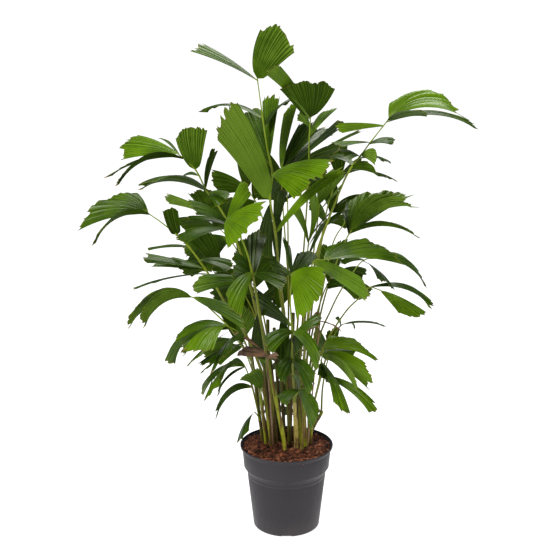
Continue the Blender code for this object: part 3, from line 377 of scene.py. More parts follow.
            leaf(4, (-36.9, 89.4, -2), (-32, 91.5, -7), 0.16, tone=0.4),
            leaf(4.7, (-25.6, 92.5, 3), (-24.5, 93.4, 5), tone=0.3),
            leaf(4.1, (-16.3, 100.3, 2), (-19.6, 96.5, 0), 0.05, 0.1, tone=0.32),
            leaf(4, (-14.1, 88.9, -2), (-15, 87, -4), tone=0.55),
            leaf(4, (-14, 86.7, -3.5), (-17.5, 85.3, -4), tone=0.5),
        )],
    },
    "left_middle": {
        "foot": (-4.0, -0.6), "crown": (-6.3, 41, -1), "radius": 0.5,
        "fronds": [frond(
            [(-10, 51.5, -2), (-15.3, 60.2, -2.5), (-18, 65.3, -2.5), (-20.3, 69.3, -2.5), (-24.3, 75, -2.5),
             (-27.3, 78.2, -2.5), (-31, 81.3, -2.5), (-34.3, 83.7, -2.5)],
            leaf(8, (-52, 79, -4), (-36.8, 88.8, 0), 0.1, 0.15, 0.2, tone=0.46),
            leaf(8, (-48.6, 75.2, -8), (-44.6, 80.6, -8), 0.2, 0.0, 0.2, tone=0.38),
            leaf(6, (-30.7, 84.4, -3), (-26.8, 84.2, -2), 0.03, 0.15, 0.75, tone=0.22),
            leaf(4, (-35.4, 73.6, -3), (-34.8, 70.9, -5), 0.03, 0.05, 0.1, tone=0.45),
            leaf(4, (-34.7, 69.9, -1), (-28.5, 72.5, -1), 0.05, 0.0, tone=0.55),
            leaf(5, (-34.8, 74, 0), (-31, 75.2, 4), 0.05, tone=0.5),
            leaf(4, (-38.5, 64, -2), (-33, 65.7, 2), 0.05, tone=0.3),
            leaf(4.4, (-13.6, 71.6, -2), (-15, 68.6, -5), tone=0.3),
        )],
    },
    "left_low": {
        "foot": (-5.4, 1.0), "crown": (-6.6, 35, -3), "radius": 0.45,
        "fronds": [frond(
            [(-9, 45, -5), (-13, 52, -6), (-16, 55.7, -6.5), (-19.5, 59.2, -6.5), (-22, 61.4, -6.5),
             (-24.6, 62.3, -6.5)],
            leaf(6, (-40.6, 53.2, -6), (-33.8, 62.8, -9), 0.2, 0.08, tone=0.55),
            leaf(6, (-36.7, 53.4, -10), (-35.2, 60.4, -11), 0.24, 0.08, tone=0.7),
            leaf(5.6, (-9.8, 52.6, -11), (-14.6, 60.4, -9), 0.04, 0.05, tone=0.5),
        ), frond(
            [(-8.5, 44, -7), (-10.7, 50.3, -9.5), (-13, 53.3, -10.5), (-15.4, 54.5, -11)],
            leaf(4, (-26.6, 47.7, -17), (-18.6, 48, -18), 0.14, 0.1, tone=0.95),
            leaf(4, (-28.4, 49.8, -12), (-24.2, 55, -8), 0.15, tone=0.5),
            leaf(4, (-28.8, 44.1, -9), (-30.6, 46, -9), 0.25, tone=0.4),
            leaf(4, (-26.8, 46, -14), (-25, 51, -12), 0.2, tone=0.25),
            leaf(4, (-25.9, 43.2, -12), (-21.7, 46.5, -13), tone=0.6),
            leaf(2, (-19.7, 41.2, -17), (-14, 48, -16), 0.25, tone=0.3),
            leaf(2, (-22.8, 44.2, -12), (-19, 44.3, -13), tone=0.3),
            leaf(2, (-22.4, 41.3, -10), (-19.5, 43.5, -9), tone=0.4),
        ), frond(
            [(-6.5, 37.8, -6)],
            leaf(1, (-12.4, 39.8, -10), (-7.5, 43.2, -9), 0.1, 0.0, 0.5, tone=0.55),
        )],
    },
    "left_foot": {
        "foot": (-6.3, 2.8), "crown": (-6.9, 29, 0.5), "radius": 0.4,
        "fronds": [frond(
            [(-8.8, 38, -1), (-10.6, 43.5, -2.5), (-12, 44.6, -3)],
            leaf(3, (-20, 37.2, -3), (-17, 41.8, -1), 0.2, tone=0.3),
            leaf(3, (-21.4, 35.7, -7), (-20.8, 39.3, -5), 0.2, tone=0.35),
            leaf(3, (-16.4, 40, -9), (-16.8, 41.8, -6), 0.2, tone=0.5),
            leaf(3, (-21.4, 33.9, -10), (-17, 38.5, -9), 0.2, tone=0.65),
            leaf(3, (-18, 35.2, -4), (-16, 39.5, -2), 0.15, tone=0.4),
            leaf(3, (-15.2, 43.8, 2), (-13, 45.8, 3)),
            leaf(1, (-18.6, 28.8, -6), (-15.8, 36, -4), 0.22, tone=0.4),
        ), frond(
            [(-8.2, 31.2, -2)],
            leaf(1, (-13, 22.1, -6), (-9.7, 26, -6), 0.14, tone=0.4),
        )],
    },
    "right_low": {
        "foot": (6.2, 0.6), "crown": (6.8, 32, -2), "radius": 0.45,
        "fronds": [frond(
            [(8.5, 41, -4), (8.8, 45, -4.5), (9.4, 48.2, -5)],
            leaf(3, (24, 43.9, -6), (11.6, 52, -3.5), 0.2, 0.1, tone=0.95),
            leaf(3, (17.3, 47.8, 0), (14, 48.3, 3), 0.02, tone=0.4),
            leaf(3, (22, 36.3, -12), (18.8, 45.6, -10), 0.06, 0.12, 0.35, tone=1),
            leaf(3, (18.4, 36.2, -15), (16.8, 42.2, -14), 0.08, tone=0.82),
            leaf(2, (16.6, 30.2, -11), (12, 33.8, -11), 0.1, 0.1, tone=0.7),
            leaf(1, (21.8, 30.3, -9), (23, 33.5, -8), 0.14, tone=0.75),
            leaf(2, (12.4, 39.9, -6), (7.8, 41.2, -7), tone=0.5),
            leaf(1, (13, 38.4, -2), (10, 39.3, 0), tone=0.35),
        ), frond(
            [(10, 46, 3), (12, 52, 4), (13.6, 54.5, 4), (15, 55.2, 4)],
            leaf(3, (12.1, 56.5, 3), (13.4, 56.4, 5), tone=0.4),
            leaf(4, (17.1, 53.2, 1), (16.9, 54.8, 3), 0.2, tone=0.4),
            leaf(4, (25.4, 54.1, 5), (21, 55.3, 7), 0.08, tone=0.35),
        )],
    },
}

# The shoots at the back grow by rule: where each frond ends (x, z, y), its leaflets' size and pairs.
backShoots = {
    "back_left": {"foot": (-2.2, 5.2), "crown": (-4, 44, 8), "radius": 0.5,
                  "wild": [(-17, 80, 24, 12, 2), (-17, 70, 18, 12, 1), (-9, 66, 14, 13, 2)]},
    "back_centre": {"foot": (1.0, 6.2), "crown": (0.5, 46, 9), "radius": 0.5,
                    "wild": [(-3, 60, 14, 13, 2), (0, 90, 22, 13, 2), (-10, 90, 26, 12, 2)]},
    "back_right": {"foot": (4.0, 6.2), "crown": (5, 44, 10), "radius": 0.5,
                   "wild": [(12, 68, 22, 10, 2), (11, 84, 24, 9, 2), (13, 93, 17, 8, 1)]},
    "back_low": {"foot": (-5.0, 5.0), "crown": (-6, 30, 6.5), "radius": 0.4,
                 "wild": [(-13, 51, 16, 11, 2), (-5, 42, 14, 11, 1), (-5, 33, 11, 8, 1)]},
    "back_foot": {"foot": (6.4, 5.0), "crown": (8.5, 30, 8), "radius": 0.4,
                  "wild": [(11, 47, 18, 8, 2), (2, 40, 16, 10, 1)]},
}

# Old canes with no crown left: the foot on the mix (x, y), the top (x, z, y) and the foot's radius.
oldCanes = {
    "old_left": {"foot": (-3.6, 2.5), "top": (-5.8, 44.5, 3.6), "radius": 0.5},
    "old_far_left": {"foot": (-6.4, 3.9), "top": (-9.5, 51, 5.6), "radius": 0.4},
    "old_middle": {"foot": (-0.5, 1.9), "top": (-1.6, 44.6, 2.3), "radius": 0.45},
    "old_front": {"foot": (0.9, -0.2), "top": (1.6, 57.9, -0.9), "radius": 0.45},
    "old_right": {"foot": (2.9, 6.0), "top": (2.8, 44, 7.4), "radius": 0.4},
    "old_back_left": {"foot": (-4.5, 6.7), "top": (-4.8, 56.1, 7.1), "radius": 0.4},
    "old_back": {"foot": (-1.5, 4.1), "top": (-3.2, 54, 6.6), "radius": 0.4},
}

# Dead fronds, dried brown on their stalks: the foot on the mix (x, y), the stalk's places and its leaflets.
deadFronds = {
    "dried_frond_left": {"foot": (-3.4, -2.8), "frond": frond(
        [(-4.3, 35, -9), (-5, 47, -9)],
        leaf(2, (-14.5, 53, -8), (-9.5, 50.4, -8), 0.05),
        leaf(2, (-12.6, 46.2, -9), (-10, 49.3, -8), 0.05),
        leaf(2, (-2.4, 45.6, -9), (-2.6, 47.4, -10)))},
    "dried_frond_right": {"foot": (5.4, -4.2), "frond": frond(
        [(6.6, 36, -9), (8.4, 55.7, -7)],
        leaf(2, (14.3, 52.6, -8), (12, 54.4, -8), 0.1),
        leaf(2, (5, 53, -8), (8, 58.6, -7), 0.05))},
}

# The mix's level, the canes with their joints, and the leaf stalks that grow from a sheath on each cane's top
mixLevel = 0.2165
caneSize = {
    "buried": 0.035, "upright": 0.01, "bow": 0.12, "topRadius": 0.0046, "sides": 16, "perSpan": 40,
    "firstJoint": 0.022, "lastJoint": 0.07, "bareTop": 0.02, "firstSpread": (0.4, 1.0), "jointSpread": (0.8, 1.3),
    "swelling": 0.03, "jointWidth": 0.0018,
}
stalkSize = {
    "baseRadius": 0.0027, "endRadius": 0.0012, "sheathLength": 0.016, "sheathRadius": 0.0044, "sheathTop": 0.0034,
    "split": 0.6, "gap": 0.0003, "perSpan": 6, "leafSpacing": 0.006, "knuckle": 0.35, "knuckleSpan": 0.8,
}
# Where a leaflet isn't drawn in full: its lobes, its tone, lowered the deeper it stands as painted shade, and how
# far its light side leans outwards
leafSize = {
    "lobeWidth": 0.021, "fewestLobes": 2.0, "mostLobes": 9.0, "tone": 0.45, "shadeWithDepth": 0.6, "toneSpread": 0.2,
    "outwards": 0.4,
}


def smooth(points, perSpan):        # a Catmull-Rom curve through the points
    ends = [points[0] * 2 - points[1], *points, points[-1] * 2 - points[-2]]
    line = []
    for a, b, c, d in zip(ends, ends[1:], ends[2:], ends[3:]):
        for i in range(perSpan):
            t = i / perSpan
            line.append(0.5 * (2 * b + (c - a) * t + (2 * a - 5 * b + 4 * c - d) * t * t
                               + (3 * b - a - 3 * c + d) * t ** 3))
    return [*line, points[-1].copy()]


def pointOn(line, step):
    i = min(int(step), len(line) - 2)
    return line[i].lerp(line[i + 1], step - i)


def valueAt(values, share):        # between the values of a list, from its first at 0 to its last at 1
    at = share * (len(values) - 1)
    low = min(int(at), len(values) - 2)
    return values[low] + (values[low + 1] - values[low]) * (at - low)


def rootOf(line, leaflets, i):        # leaflets drawn at one step stand a little apart down their stalk
    step = leaflets[i]["at"]
    below = sum(1 for other in leaflets[:i] if other["at"] == step) * stalkSize["leafSpacing"]
    low = line[max(0, math.ceil(step) - 1)]
    root = pointOn(line, step)
    return root + (low - root).normalized() * min(below, (low - root).length)


def slide(spot, depth):        # moved away by depth along the front's line of sight
    at = eye * cm
    return at + (spot - at) * (1 + depth / (spot.y - at.y))


# A frond that grows by rule arches from the crown over an elbow to its end and carries pairs of leaflets.
# Turns are in radians from the frond's heading, and a pair of numbers is the range of a random draw.
wildSize = {
    "elbow": (0.4, 0.4, 0.9), "along": (0.3, 0.6, 0.8, 1.0), "lastPair": 4.0, "pairStep": 0.8,
    "turn": 0.25, "pairTurn": 0.5, "turnSpread": (0, 0.3), "opening": (0.5, 0.8), "depth": (-0.5, 0.5),
    "reach": (0.85, 1.15), "shortEdge": 0.7, "arch": (0.05, 0.15), "bulge": 0.1, "belly": 0.35,
}


def wildFrond(crown, end, size, pairs, seed):
    draw = random.Random(seed)
    elbow = Vector([a * (1 - share) + b * share for a, b, share in zip(crown, end, wildSize["elbow"])])
    path = [crown.lerp(elbow, t).lerp(elbow.lerp(end, t), t) for t in wildSize["along"]]
    run = path[-1] - path[-2]
    heading = math.atan2(run.z, run.x)
    leaflets = []
    for pair in range(pairs):
        step = wildSize["lastPair"] - pair * wildSize["pairStep"]
        root = pointOn([crown, *path], step)
        for hand in (-1, 1):
            swing = wildSize["turn"] + wildSize["pairTurn"] * pair + draw.uniform(*wildSize["turnSpread"])
            turn = heading + hand * swing
            wide = turn + hand * draw.uniform(*wildSize["opening"])
            near, far = draw.uniform(*wildSize["depth"]), draw.uniform(*wildSize["depth"])
            reach = size * draw.uniform(*wildSize["reach"])
            leaflets.append({
                "at": step, "tip": root + Vector((math.cos(turn), near, math.sin(turn))) * reach,
                "side": root + Vector((math.cos(wide), far, math.sin(wide))) * reach * wildSize["shortEdge"],
                "arch": draw.uniform(*wildSize["arch"]), "bulge": wildSize["bulge"], "belly": wildSize["belly"],
                "tone": None})
    return {"path": path, "leaflets": leaflets}


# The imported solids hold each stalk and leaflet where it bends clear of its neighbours. Of the places that
# a leaf may take along the line of sight, the one that its solid's corners lie on is the one it has.
stalkBends = (0, -0.7, 0.7, -1.4, 1.4, -2.1, 2.1, -2.8, 2.8, -3.5, 3.5)        # in centimetres, as the next
leafBends = (1, 2, 3, 4, 5.5, 7, 9)
cornerWays = ((-1, -1), (1, 1), (-1, 0), (1, 0), (0, -1), (0, 1), (-1, 1), (1, -1))        # of a tip and a side
furthestMatch = 0.004        # a leaflet with no solid's corners this near isn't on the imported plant


def cornersOf(node):
    verts = frame["nodes"][node].data.vertices
    tree = KDTree(len(verts))
    for i, vert in enumerate(verts):
        tree.insert(vert.co, i)
    tree.balance()
    return tree


def farFrom(tree, spots):
    return sum(tree.find(spot)[2] for spot in spots)


def bentStalk(corners, path):        # a stalk bends over its first three places
    ways = [[slide(spot, depth * cm * min(1.0, (i + 1) / 3)) for i, spot in enumerate(path)]
            for depth in stalkBends]
    return min(ways, key=lambda way: farFrom(corners, way))


def bentLeaf(corners, spec):
    turns = [(0, 0), *((a * depth, b * depth) for depth in leafBends for a, b in cornerWays)]
    ways = [(slide(spec["tip"], a * cm), slide(spec["side"], b * cm)) for a, b in turns]
    tip, side = min(ways, key=lambda way: farFrom(corners, way))
    return {**spec, "tip": tip, "side": side} if farFrom(corners, (tip, side)) < furthestMatch else None


def upright(along, root):        # the side of a blade that faces the light, up and away from the plant's axis
    light = Vector((root.x, root.y, 0.0)).normalized() * leafSize["outwards"] + Vector((0.0, 0.0, 1.0))
    return (light - along * light.dot(along)).normalized()


def stem(foot):        # from where a cane or a stalk stands in the mix to just above it
    base = Vector((foot[0] * cm, foot[1] * cm, mixLevel - caneSize["buried"]))
    return [base, base + Vector((0.0, 0.0, caneSize["buried"] + caneSize["upright"]))]


def caneLine(foot, crown):
    base, top = stem(foot)
    return [base, top, top.lerp(crown, 0.5) + (top - base) * caneSize["bow"], crown]


def growLeaflets(node, number, line, leaflets, corners):
    grownOnes = []
    for i, spec in enumerate(leaflets):
        root = rootOf(line, leaflets, i)
        bent = bentLeaf(corners, spec)
        if bent is None:
            print("left out of", node, number, i)
            continue
        draw = random.Random(f"{node} {number} {i} look")
        tip, side = bent["tip"] - root, bent["side"] - root
        lift = upright((tip + side).normalized(), root)
        tone, spread = spec["tone"], leafSize["toneSpread"]
        if tone is None:
            # painted shade: a leaflet further back gets a darker tone
            tone = leafSize["tone"] - bent["tip"].y * leafSize["shadeWithDepth"] + draw.uniform(-spread, spread)
        lobes = max((tip - side).length / leafSize["lobeWidth"], leafSize["fewestLobes"])
        grownOnes.append({
            "root": root, "tip": tip, "side": side, "lift": lift,
            "hand": math.copysign(1.0, (tip - side).cross(tip + side).dot(lift)),
            "arch": bent["arch"], "bulge": bent["bulge"], "belly": bent["belly"],
            "tone": min(max(tone, 0.0), 1.0), "lobes": min(lobes, leafSize["mostLobes"]), "seed": draw.random()})
    return grownOnes


def growShoot(node, start, radii, fronds):        # every leaflet and stalk of a crown
    corners = cornersOf(node)
    leaflets, rods = [], []
    for number, drawn in enumerate(fronds):
        coarse = [*start, *bentStalk(corners, drawn["path"])]
        fine = smooth(coarse, stalkSize["perSpan"])
        leaflets += growLeaflets(node, number, coarse[len(start) - 1:], drawn["leaflets"], corners)
        knuckles = [(len(start) - 1 + spec["at"]) * stalkSize["perSpan"] for spec in drawn["leaflets"]]
        thick = []
        for i in range(len(fine)):
            swell = max((math.exp(-((i - k) / stalkSize["knuckleSpan"]) ** 2) for k in knuckles), default=0.0)
            thick.append(valueAt(radii, i / (len(fine) - 1)) * (1 + stalkSize["knuckle"] * swell))
        rods.append((fine, thick))
    return leaflets, rods


def writeAttribute(mesh, name, values):
    vector = isinstance(values[0], Vector)
    layer = mesh.attributes.new(name, "FLOAT_VECTOR" if vector else "FLOAT", "POINT")
    flat = [c for value in values for c in value] if vector else values
    layer.data.foreach_set("vector" if vector else "value", flat)


def skeleton(name, leaflets, rods):        # one loose point for a leaflet and one chain of edges for a stalk
    lines = [line for line, _ in rods]
    spots = [leaflet["root"] for leaflet in leaflets] + [spot for line in lines for spot in line]
    edges, first = [], len(leaflets)
    for line in lines:
        edges += [(first + i, first + i + 1) for i in range(len(line) - 1)]
        first += len(line)
    mesh = bpy.data.meshes.new(name)
    mesh.from_pydata(spots, edges, [])
    count = len(spots) - len(leaflets)
    for keys, blankValue in ((("root", "tip", "side", "lift"), Vector()),
                             (("hand", "arch", "bulge", "belly", "tone", "lobes", "seed"), 0.5)):
        for key in keys:
            writeAttribute(mesh, key, [leaflet[key] for leaflet in leaflets] + [blankValue] * count)
    none = [0.0] * len(leaflets)
    writeAttribute(mesh, "isLeaf", [1.0] * len(leaflets) + [0.0] * count)
    writeAttribute(mesh, "thickness", none + [radius for _, radii in rods for radius in radii])
    writeAttribute(mesh, "reach", none + [i / (len(line) - 1) for line in lines for i in range(len(line))])
    return linked(bpy.data.objects.new(name, mesh))


# The leaf blade: rays fan out from its root to a torn edge, between a long and a short edge
bladeSize = {
    "Across": 40, "Along": 14, "Thickness": 0.0005, "Root width": 0.0032, "Camber": 0.05, "Notch": 0.11,
    "Tooth": 0.05, "Tail": 0.08, "Pleat": 0.022, "Wave": 0.07, "Fullness": 0.06, "Arch": 0.88, "Crumple": 0.0,
    "Stalk sides": 10,
}
dryBladeSize = {**bladeSize, "Crumple": 0.012, "Pleat": 0.07, "Wave": 0.25}
bladeShape = {
    "drift": 1.6, "driftScale": 2.5, "leastNotch": 0.1, "teethPerLobe": 3.4, "tailFrom": 0.55, "tailTo": 0.94,
    "longEnd": 0.045, "shortEnd": 0.07, "waveScale": 3.5, "crumpleScale": 45.0, "fadeAcross": 40.0, "fadeAlong": 12.0,
    "rimBelow": 0.001, "weld": 1e-6,
}


def newGrowthTree(name, sizes, *finishes):        # its inputs are a dictionary's sizes and the named materials
    inputs = [("Geometry", "Geometry", None)]
    inputs += [(label, "Int" if isinstance(value, int) else "Float", value) for label, value in sizes.items()]
    inputs += [(label, "Material", None) for label in finishes]
    return newTree(name, "GeometryNodeTree", inputs, [("Geometry", "Geometry")])


def buildCrownTree():
    tree, given, end = newGrowthTree("Palm crown", bladeSize, "Upper face", "Under face", "Stalk skin")
    sheet = put(tree, "GeometryNodeMeshGrid", {
        "Size X": 1.0, "Size Y": 1.0, "Vertices X": given["Across"], "Vertices Y": given["Along"]})
    flat = put(tree, "GeometryNodeInputPosition")
    for name, way in (("span", "X"), ("reach", "Y")):
        sheet = store(sheet, name, put(tree, "ShaderNodeSeparateXYZ", {0: flat}, way) + 0.5)
    isLeaf = put(tree, "FunctionNodeCompare", {"A": attribute(tree, "isLeaf"), "B": 0.5}, operation="GREATER_THAN")
    spots = put(tree, "GeometryNodeInstanceOnPoints", {
        "Points": given["Geometry"], "Selection": isLeaf, "Instance": sheet})
    fans = put(tree, "GeometryNodeRealizeInstances", {"Geometry": spots})
    fans = store(fans, "span", (attribute(tree, "span") - 0.5) * attribute(tree, "hand") + 0.5)
    fans = put(tree, "GeometryNodeSetPosition", {"Geometry": fans, "Position": bladePlace(tree, given)})
    fans = put(tree, "GeometryNodeSetShadeSmooth", {0: fans, 2: True}, domain="FACE")
    blades = thickened(tree, given, fans)
    stalks = rodsAlong(tree, given["Geometry"], given["Stalk sides"], given["Stalk skin"])
    both = put(tree, "GeometryNodeRealizeInstances", {"Geometry": joined(blades, stalks)})
    plug(tree, end.inputs["Geometry"], both)
    return tree


def bladePlace(tree, given):
    s, t = attribute(tree, "span"), attribute(tree, "reach")
    root, tip, side, lift = (attribute(tree, name, "FLOAT_VECTOR") for name in ("root", "tip", "side", "lift"))
    arch, bulge, belly, lobes, seed = (attribute(tree, name) for name in ("arch", "bulge", "belly", "lobes", "seed"))
    edge = tip - side
    width = edge.calc("LENGTH")
    axis, spanWay = (tip + side).calc("NORMALIZE"), edge.calc("NORMALIZE")
    outward = (tip - spanWay * tip.calc("DOT_PRODUCT", spanWay)).calc("NORMALIZE")
    hump = s * (1.0 - s) * 4.0
    # The torn edge: deep notches between lobes, small teeth on them, and a tail left at the long edge.
    # Each draw multiplies the leaflet's seed by a number of its own.
    lobe = s * lobes + noiseAlong(s * bladeShape["driftScale"] + seed * 31.0) * bladeShape["drift"]
    least = bladeShape["leastNotch"]
    deepness = randomOf(lobe.calc("FLOOR") + seed * 57.0) * (1.0 - least) + least
    notch = (1.0 - lobe.calc("FRACT")) * deepness * given["Notch"]
    tooth = lobe * bladeShape["teethPerLobe"] + seed * 5.0
    bite = (1.0 - tooth.calc("FRACT")) * randomOf(tooth.calc("FLOOR") + seed * 91.0) * given["Tooth"]
    tail = steps(s, bladeShape["tailFrom"], bladeShape["tailTo"]) * randomOf(seed * 17.0) * given["Tail"]
    ends = steps(s, 0.0, bladeShape["shortEnd"]) * steps(1.0 - s, 0.0, bladeShape["longEnd"])
    cut = (notch + bite + tail) * ends
    spare = hump.calc("MINIMUM", 0.5) * given["Fullness"] * 2.0
    whole = side + edge * s + outward * (bulge * width * hump)
    ray = whole * ((spare - cut) * t ** 4.0 + 1.0)
    forward = axis * ray.calc("DOT_PRODUCT", axis)
    body = forward * t + (ray - forward) * t ** (1.0 - belly)
    neck = spanWay * ((s - 0.5) * given["Root width"] * (1.0 - t))
    # The relief: the arch and camber of the whole blade, pleats along the rays and a waved margin
    archHeight = arch * given["Arch"] * whole.calc("LENGTH") * t * (1.0 - t) * 4.0
    rise = archHeight + width * hump * t * given["Camber"]
    pleat = (lobe * math.tau).calc("SINE") * hump * t * width * given["Pleat"]
    sway = noiseAlong(s * bladeShape["waveScale"] + seed * 13.0) - 0.5
    wave = sway * hump * t ** 2.0 * width * given["Wave"] * 2.0
    crumple = (noiseIn(root + body, bladeShape["crumpleScale"], output="Color") - 0.5) * (given["Crumple"] * t)
    return root + body + neck + lift * (rise + pleat + wave) + crumple


def thickened(tree, given, fans):        # an upper and an under face that meet in a thin rim
    s, t = attribute(tree, "span"), attribute(tree, "reach")
    fade = (s * (1.0 - s) * bladeShape["fadeAcross"]).calc("MINIMUM", 1.0)
    for share in (1.0 - t, t):
        fade = fade * (share * bladeShape["fadeAlong"]).calc("MINIMUM", 1.0)
    fans = store(fans, "rim", fade)
    half = put(tree, "GeometryNodeInputNormal") * (given["Thickness"] * attribute(tree, "rim") * 0.5)
    faces = []
    for name, offset in (("Upper face", half), ("Under face", half * -1.0)):
        face = put(tree, "GeometryNodeSetPosition", {"Geometry": fans, "Offset": offset})
        faces.append(put(tree, "GeometryNodeSetMaterial", {"Geometry": face, "Material": given[name]}))
    upper, under = faces
    both = joined(upper, put(tree, "GeometryNodeFlipFaces", {"Mesh": under}))
    atRim = put(tree, "FunctionNodeCompare", {
        "A": attribute(tree, "rim"), "B": bladeShape["rimBelow"]}, operation="LESS_THAN")
    both = put(tree, "GeometryNodeMergeByDistance", {
        "Geometry": both, "Selection": atRim, "Distance": bladeShape["weld"]})
    return put(tree, "GeometryNodeSetShadeSmooth", {0: both, 1: atRim, 2: False}, domain="EDGE")


def rodsAlong(tree, geometry, sides, skin):        # a round rod along each chain of edges, of the points' radius
    curve = put(tree, "GeometryNodeMeshToCurve", {"Mesh": geometry})
    ring = put(tree, "GeometryNodeCurvePrimitiveCircle", {"Resolution": sides, "Radius": 1.0})
    rods = put(tree, "GeometryNodeCurveToMesh", {
        "Curve": curve, "Profile Curve": ring, "Scale": attribute(tree, "thickness"), "Fill Caps": True})
    rods = put(tree, "GeometryNodeSetShadeSmooth", {0: rods, 2: True}, domain="FACE")
    return put(tree, "GeometryNodeSetMaterial", {"Geometry": rods, "Material": skin})


def buildCaneTree():
    tree, given, end = newGrowthTree("Palm cane", {"Sides": caneSize["sides"]}, "Skin")
    rods = put(tree, "GeometryNodeRealizeInstances", {
        "Geometry": rodsAlong(tree, given["Geometry"], given["Sides"], given["Skin"])})
    plug(tree, end.inputs["Geometry"], rods)
    return tree


# Bark chips: flat splinters scattered over the mix
chipSize = {"Count": 30000.0, "Spacing": 0.0052, "Length": 0.017, "Seed": 4}
chipShape = {
    "leastTurn": (-0.5, -0.5, 0.0), "mostTurn": (0.5, 0.5, math.tau), "smallest": (0.4, 0.2, 0.1),
    "largest": (1.3, 0.5, 0.35), "roughScale": 420.0, "roughness": 0.3,
}


def buildChipTree():
    tree, given, end = newGrowthTree("Bark chips", chipSize, "Bark")
    points = put(tree, "GeometryNodeDistributePointsOnFaces", {
        "Mesh": given["Geometry"], "Distance Min": given["Spacing"], "Density Max": given["Count"],
        "Seed": given["Seed"]}, distribute_method="POISSON")
    chip = put(tree, "GeometryNodeMeshIcoSphere", {"Radius": 0.5, "Subdivisions": 2})
    turn, size = (
        put(tree, "FunctionNodeRandomValue", {"Min": chipShape[least], "Max": chipShape[most], "Seed": seed},
            "Value", data_type="FLOAT_VECTOR")
        for least, most, seed in (("leastTurn", "mostTurn", 1), ("smallest", "largest", 2)))
    points = store(points, "seed", put(tree, "FunctionNodeRandomValue", {"Seed": 3}, 1))
    chips = put(tree, "GeometryNodeInstanceOnPoints", {
        "Points": points, "Instance": chip, "Rotation": turn, "Scale": size * given["Length"]})
    chips = put(tree, "GeometryNodeRealizeInstances", {"Geometry": chips})
    rough = noiseIn(put(tree, "GeometryNodeInputPosition"), chipShape["roughScale"], output="Color") - 0.5
    chips = put(tree, "GeometryNodeSetPosition", {
        "Geometry": chips, "Offset": rough * (given["Length"] * chipShape["roughness"])})
    chips = put(tree, "GeometryNodeSetMaterial", {"Geometry": chips, "Material": given["Bark"]})
    plug(tree, end.inputs["Geometry"], chips)
    return tree


# Shader groups: each gives masks or a height that change over the surface
veinSize = {
    "fineFrom": 0.05, "fineTo": 0.55, "mainFrom": 0.04, "mainTo": 0.22, "mainEvery": 5, "bandEvery": 2,
    "shownFrom": 0.03, "shownTo": 0.3, "mainHeight": 0.5, "fineDepth": 0.15,
}


def buildVeinGroup():
    tree, given, end = newTree("Leaf veins", "ShaderNodeTree", [
        ("Span", "Float", 0.5), ("Reach", "Float", 0.5), ("Count", "Float", 20.0)],
        [("Rib", "Float"), ("Line", "Float"), ("Band", "Float"), ("Height", "Float")])
    fine, main, wide = ((given["Span"] * given["Count"] * (math.pi / every)).calc("SINE")
                        for every in (1, veinSize["mainEvery"], veinSize["bandEvery"]))
    shown = steps(given["Reach"], veinSize["shownFrom"], veinSize["shownTo"])
    thin = (1.0 - steps(fine.calc("ABSOLUTE"), veinSize["fineFrom"], veinSize["fineTo"])) * shown
    thick = (1.0 - steps(main.calc("ABSOLUTE"), veinSize["mainFrom"], veinSize["mainTo"])) * shown
    band = wide ** 2.0 * shown + (1.0 - shown) * 0.5
    height = (thick * veinSize["mainHeight"] - thin * veinSize["fineDepth"] + band) * given["Reach"]
    for name, value in (("Rib", thick), ("Band", band), ("Line", thin * (1.0 - thick)), ("Height", height)):
        plug(tree, end.inputs[name], value)
    return tree


def buildMottleGroup():
    tree, given, end = newTree("Mottle", "ShaderNodeTree", [
        ("Place", "Vector", None), ("Scale", "Float", 20.0), ("From", "Float", 0.4), ("To", "Float", 0.6)],
        [("Mask", "Float")])
    cloud = noiseIn(given["Place"], given["Scale"], detail=4.0)
    plug(tree, end.inputs["Mask"], steps(cloud, given["From"], given["To"]))
    return tree


def buildGrainGroup():        # fine streaks along the plant's upright direction
    tree, given, end = newTree("Upright grain", "ShaderNodeTree", [
        ("Place", "Vector", None), ("Scale", "Float", 300.0), ("Stretch", "Float", 0.06)],
        [("Mask", "Float")])
    long = given["Place"].calc("MULTIPLY", put(tree, "ShaderNodeCombineXYZ", {
        "X": 1.0, "Y": 1.0, "Z": given["Stretch"]}))
    plug(tree, end.inputs["Mask"], noiseIn(long, given["Scale"], detail=3.0))
    return tree


def used(tree, name, inputs):        # a shader group placed in a material, given back as its outputs by name
    new = tree.nodes.new("ShaderNodeGroup")
    new.node_tree = bpy.data.node_groups[name]
    for label, value in inputs.items():
        plug(tree, new.inputs[label], value)
    return {output.name: Value(tree, output) for output in new.outputs}


def mottle(place, scale, low, high):
    return used(place.tree, "Mottle", {"Place": place, "Scale": scale, "From": low, "To": high})["Mask"]


def grain(place, scale, stretch):
    return used(place.tree, "Upright grain", {"Place": place, "Scale": scale, "Stretch": stretch})["Mask"]


def mixed(factor, a, b):
    return put(factor.tree, "ShaderNodeMix", {0: factor, 6: a, 7: b}, 2, data_type="RGBA")


def colour(r, g, b):
    return (r, g, b, 1.0)


def layered(base, *layers):        # each layer is a mask with its look: a share, a colour and perhaps a range
    for mask, (share, shade, *span) in layers:
        base = mixed((steps(mask, *span) if span else mask) * share, base, shade)
    return base


def weighed(masks, weights):
    total = masks[0] * weights[0]
    for mask, weight in zip(masks[1:], weights[1:]):
        total = total + mask * weight
    return total


def ramp(factor, *stops):
    new = factor.tree.nodes.new("ShaderNodeValToRGB")
    plug(factor.tree, new.inputs[0], factor)
    bar = new.color_ramp
    for i, (at, shade) in enumerate(stops):
        stop = bar.elements[i] if i < 2 else bar.elements.new(at)
        stop.position = at
        stop.color = shade
    return Value(factor.tree, new.outputs[0])


def blank(name):        # a new material, its node tree and the object's own coordinates
    material = bpy.data.materials.new(name)
    material.use_nodes = True
    tree = material.node_tree
    return material, tree, put(tree, "ShaderNodeTexCoord", output="Object")


def read(tree, name):
    return put(tree, "ShaderNodeAttribute", output="Fac", attribute_name=name)


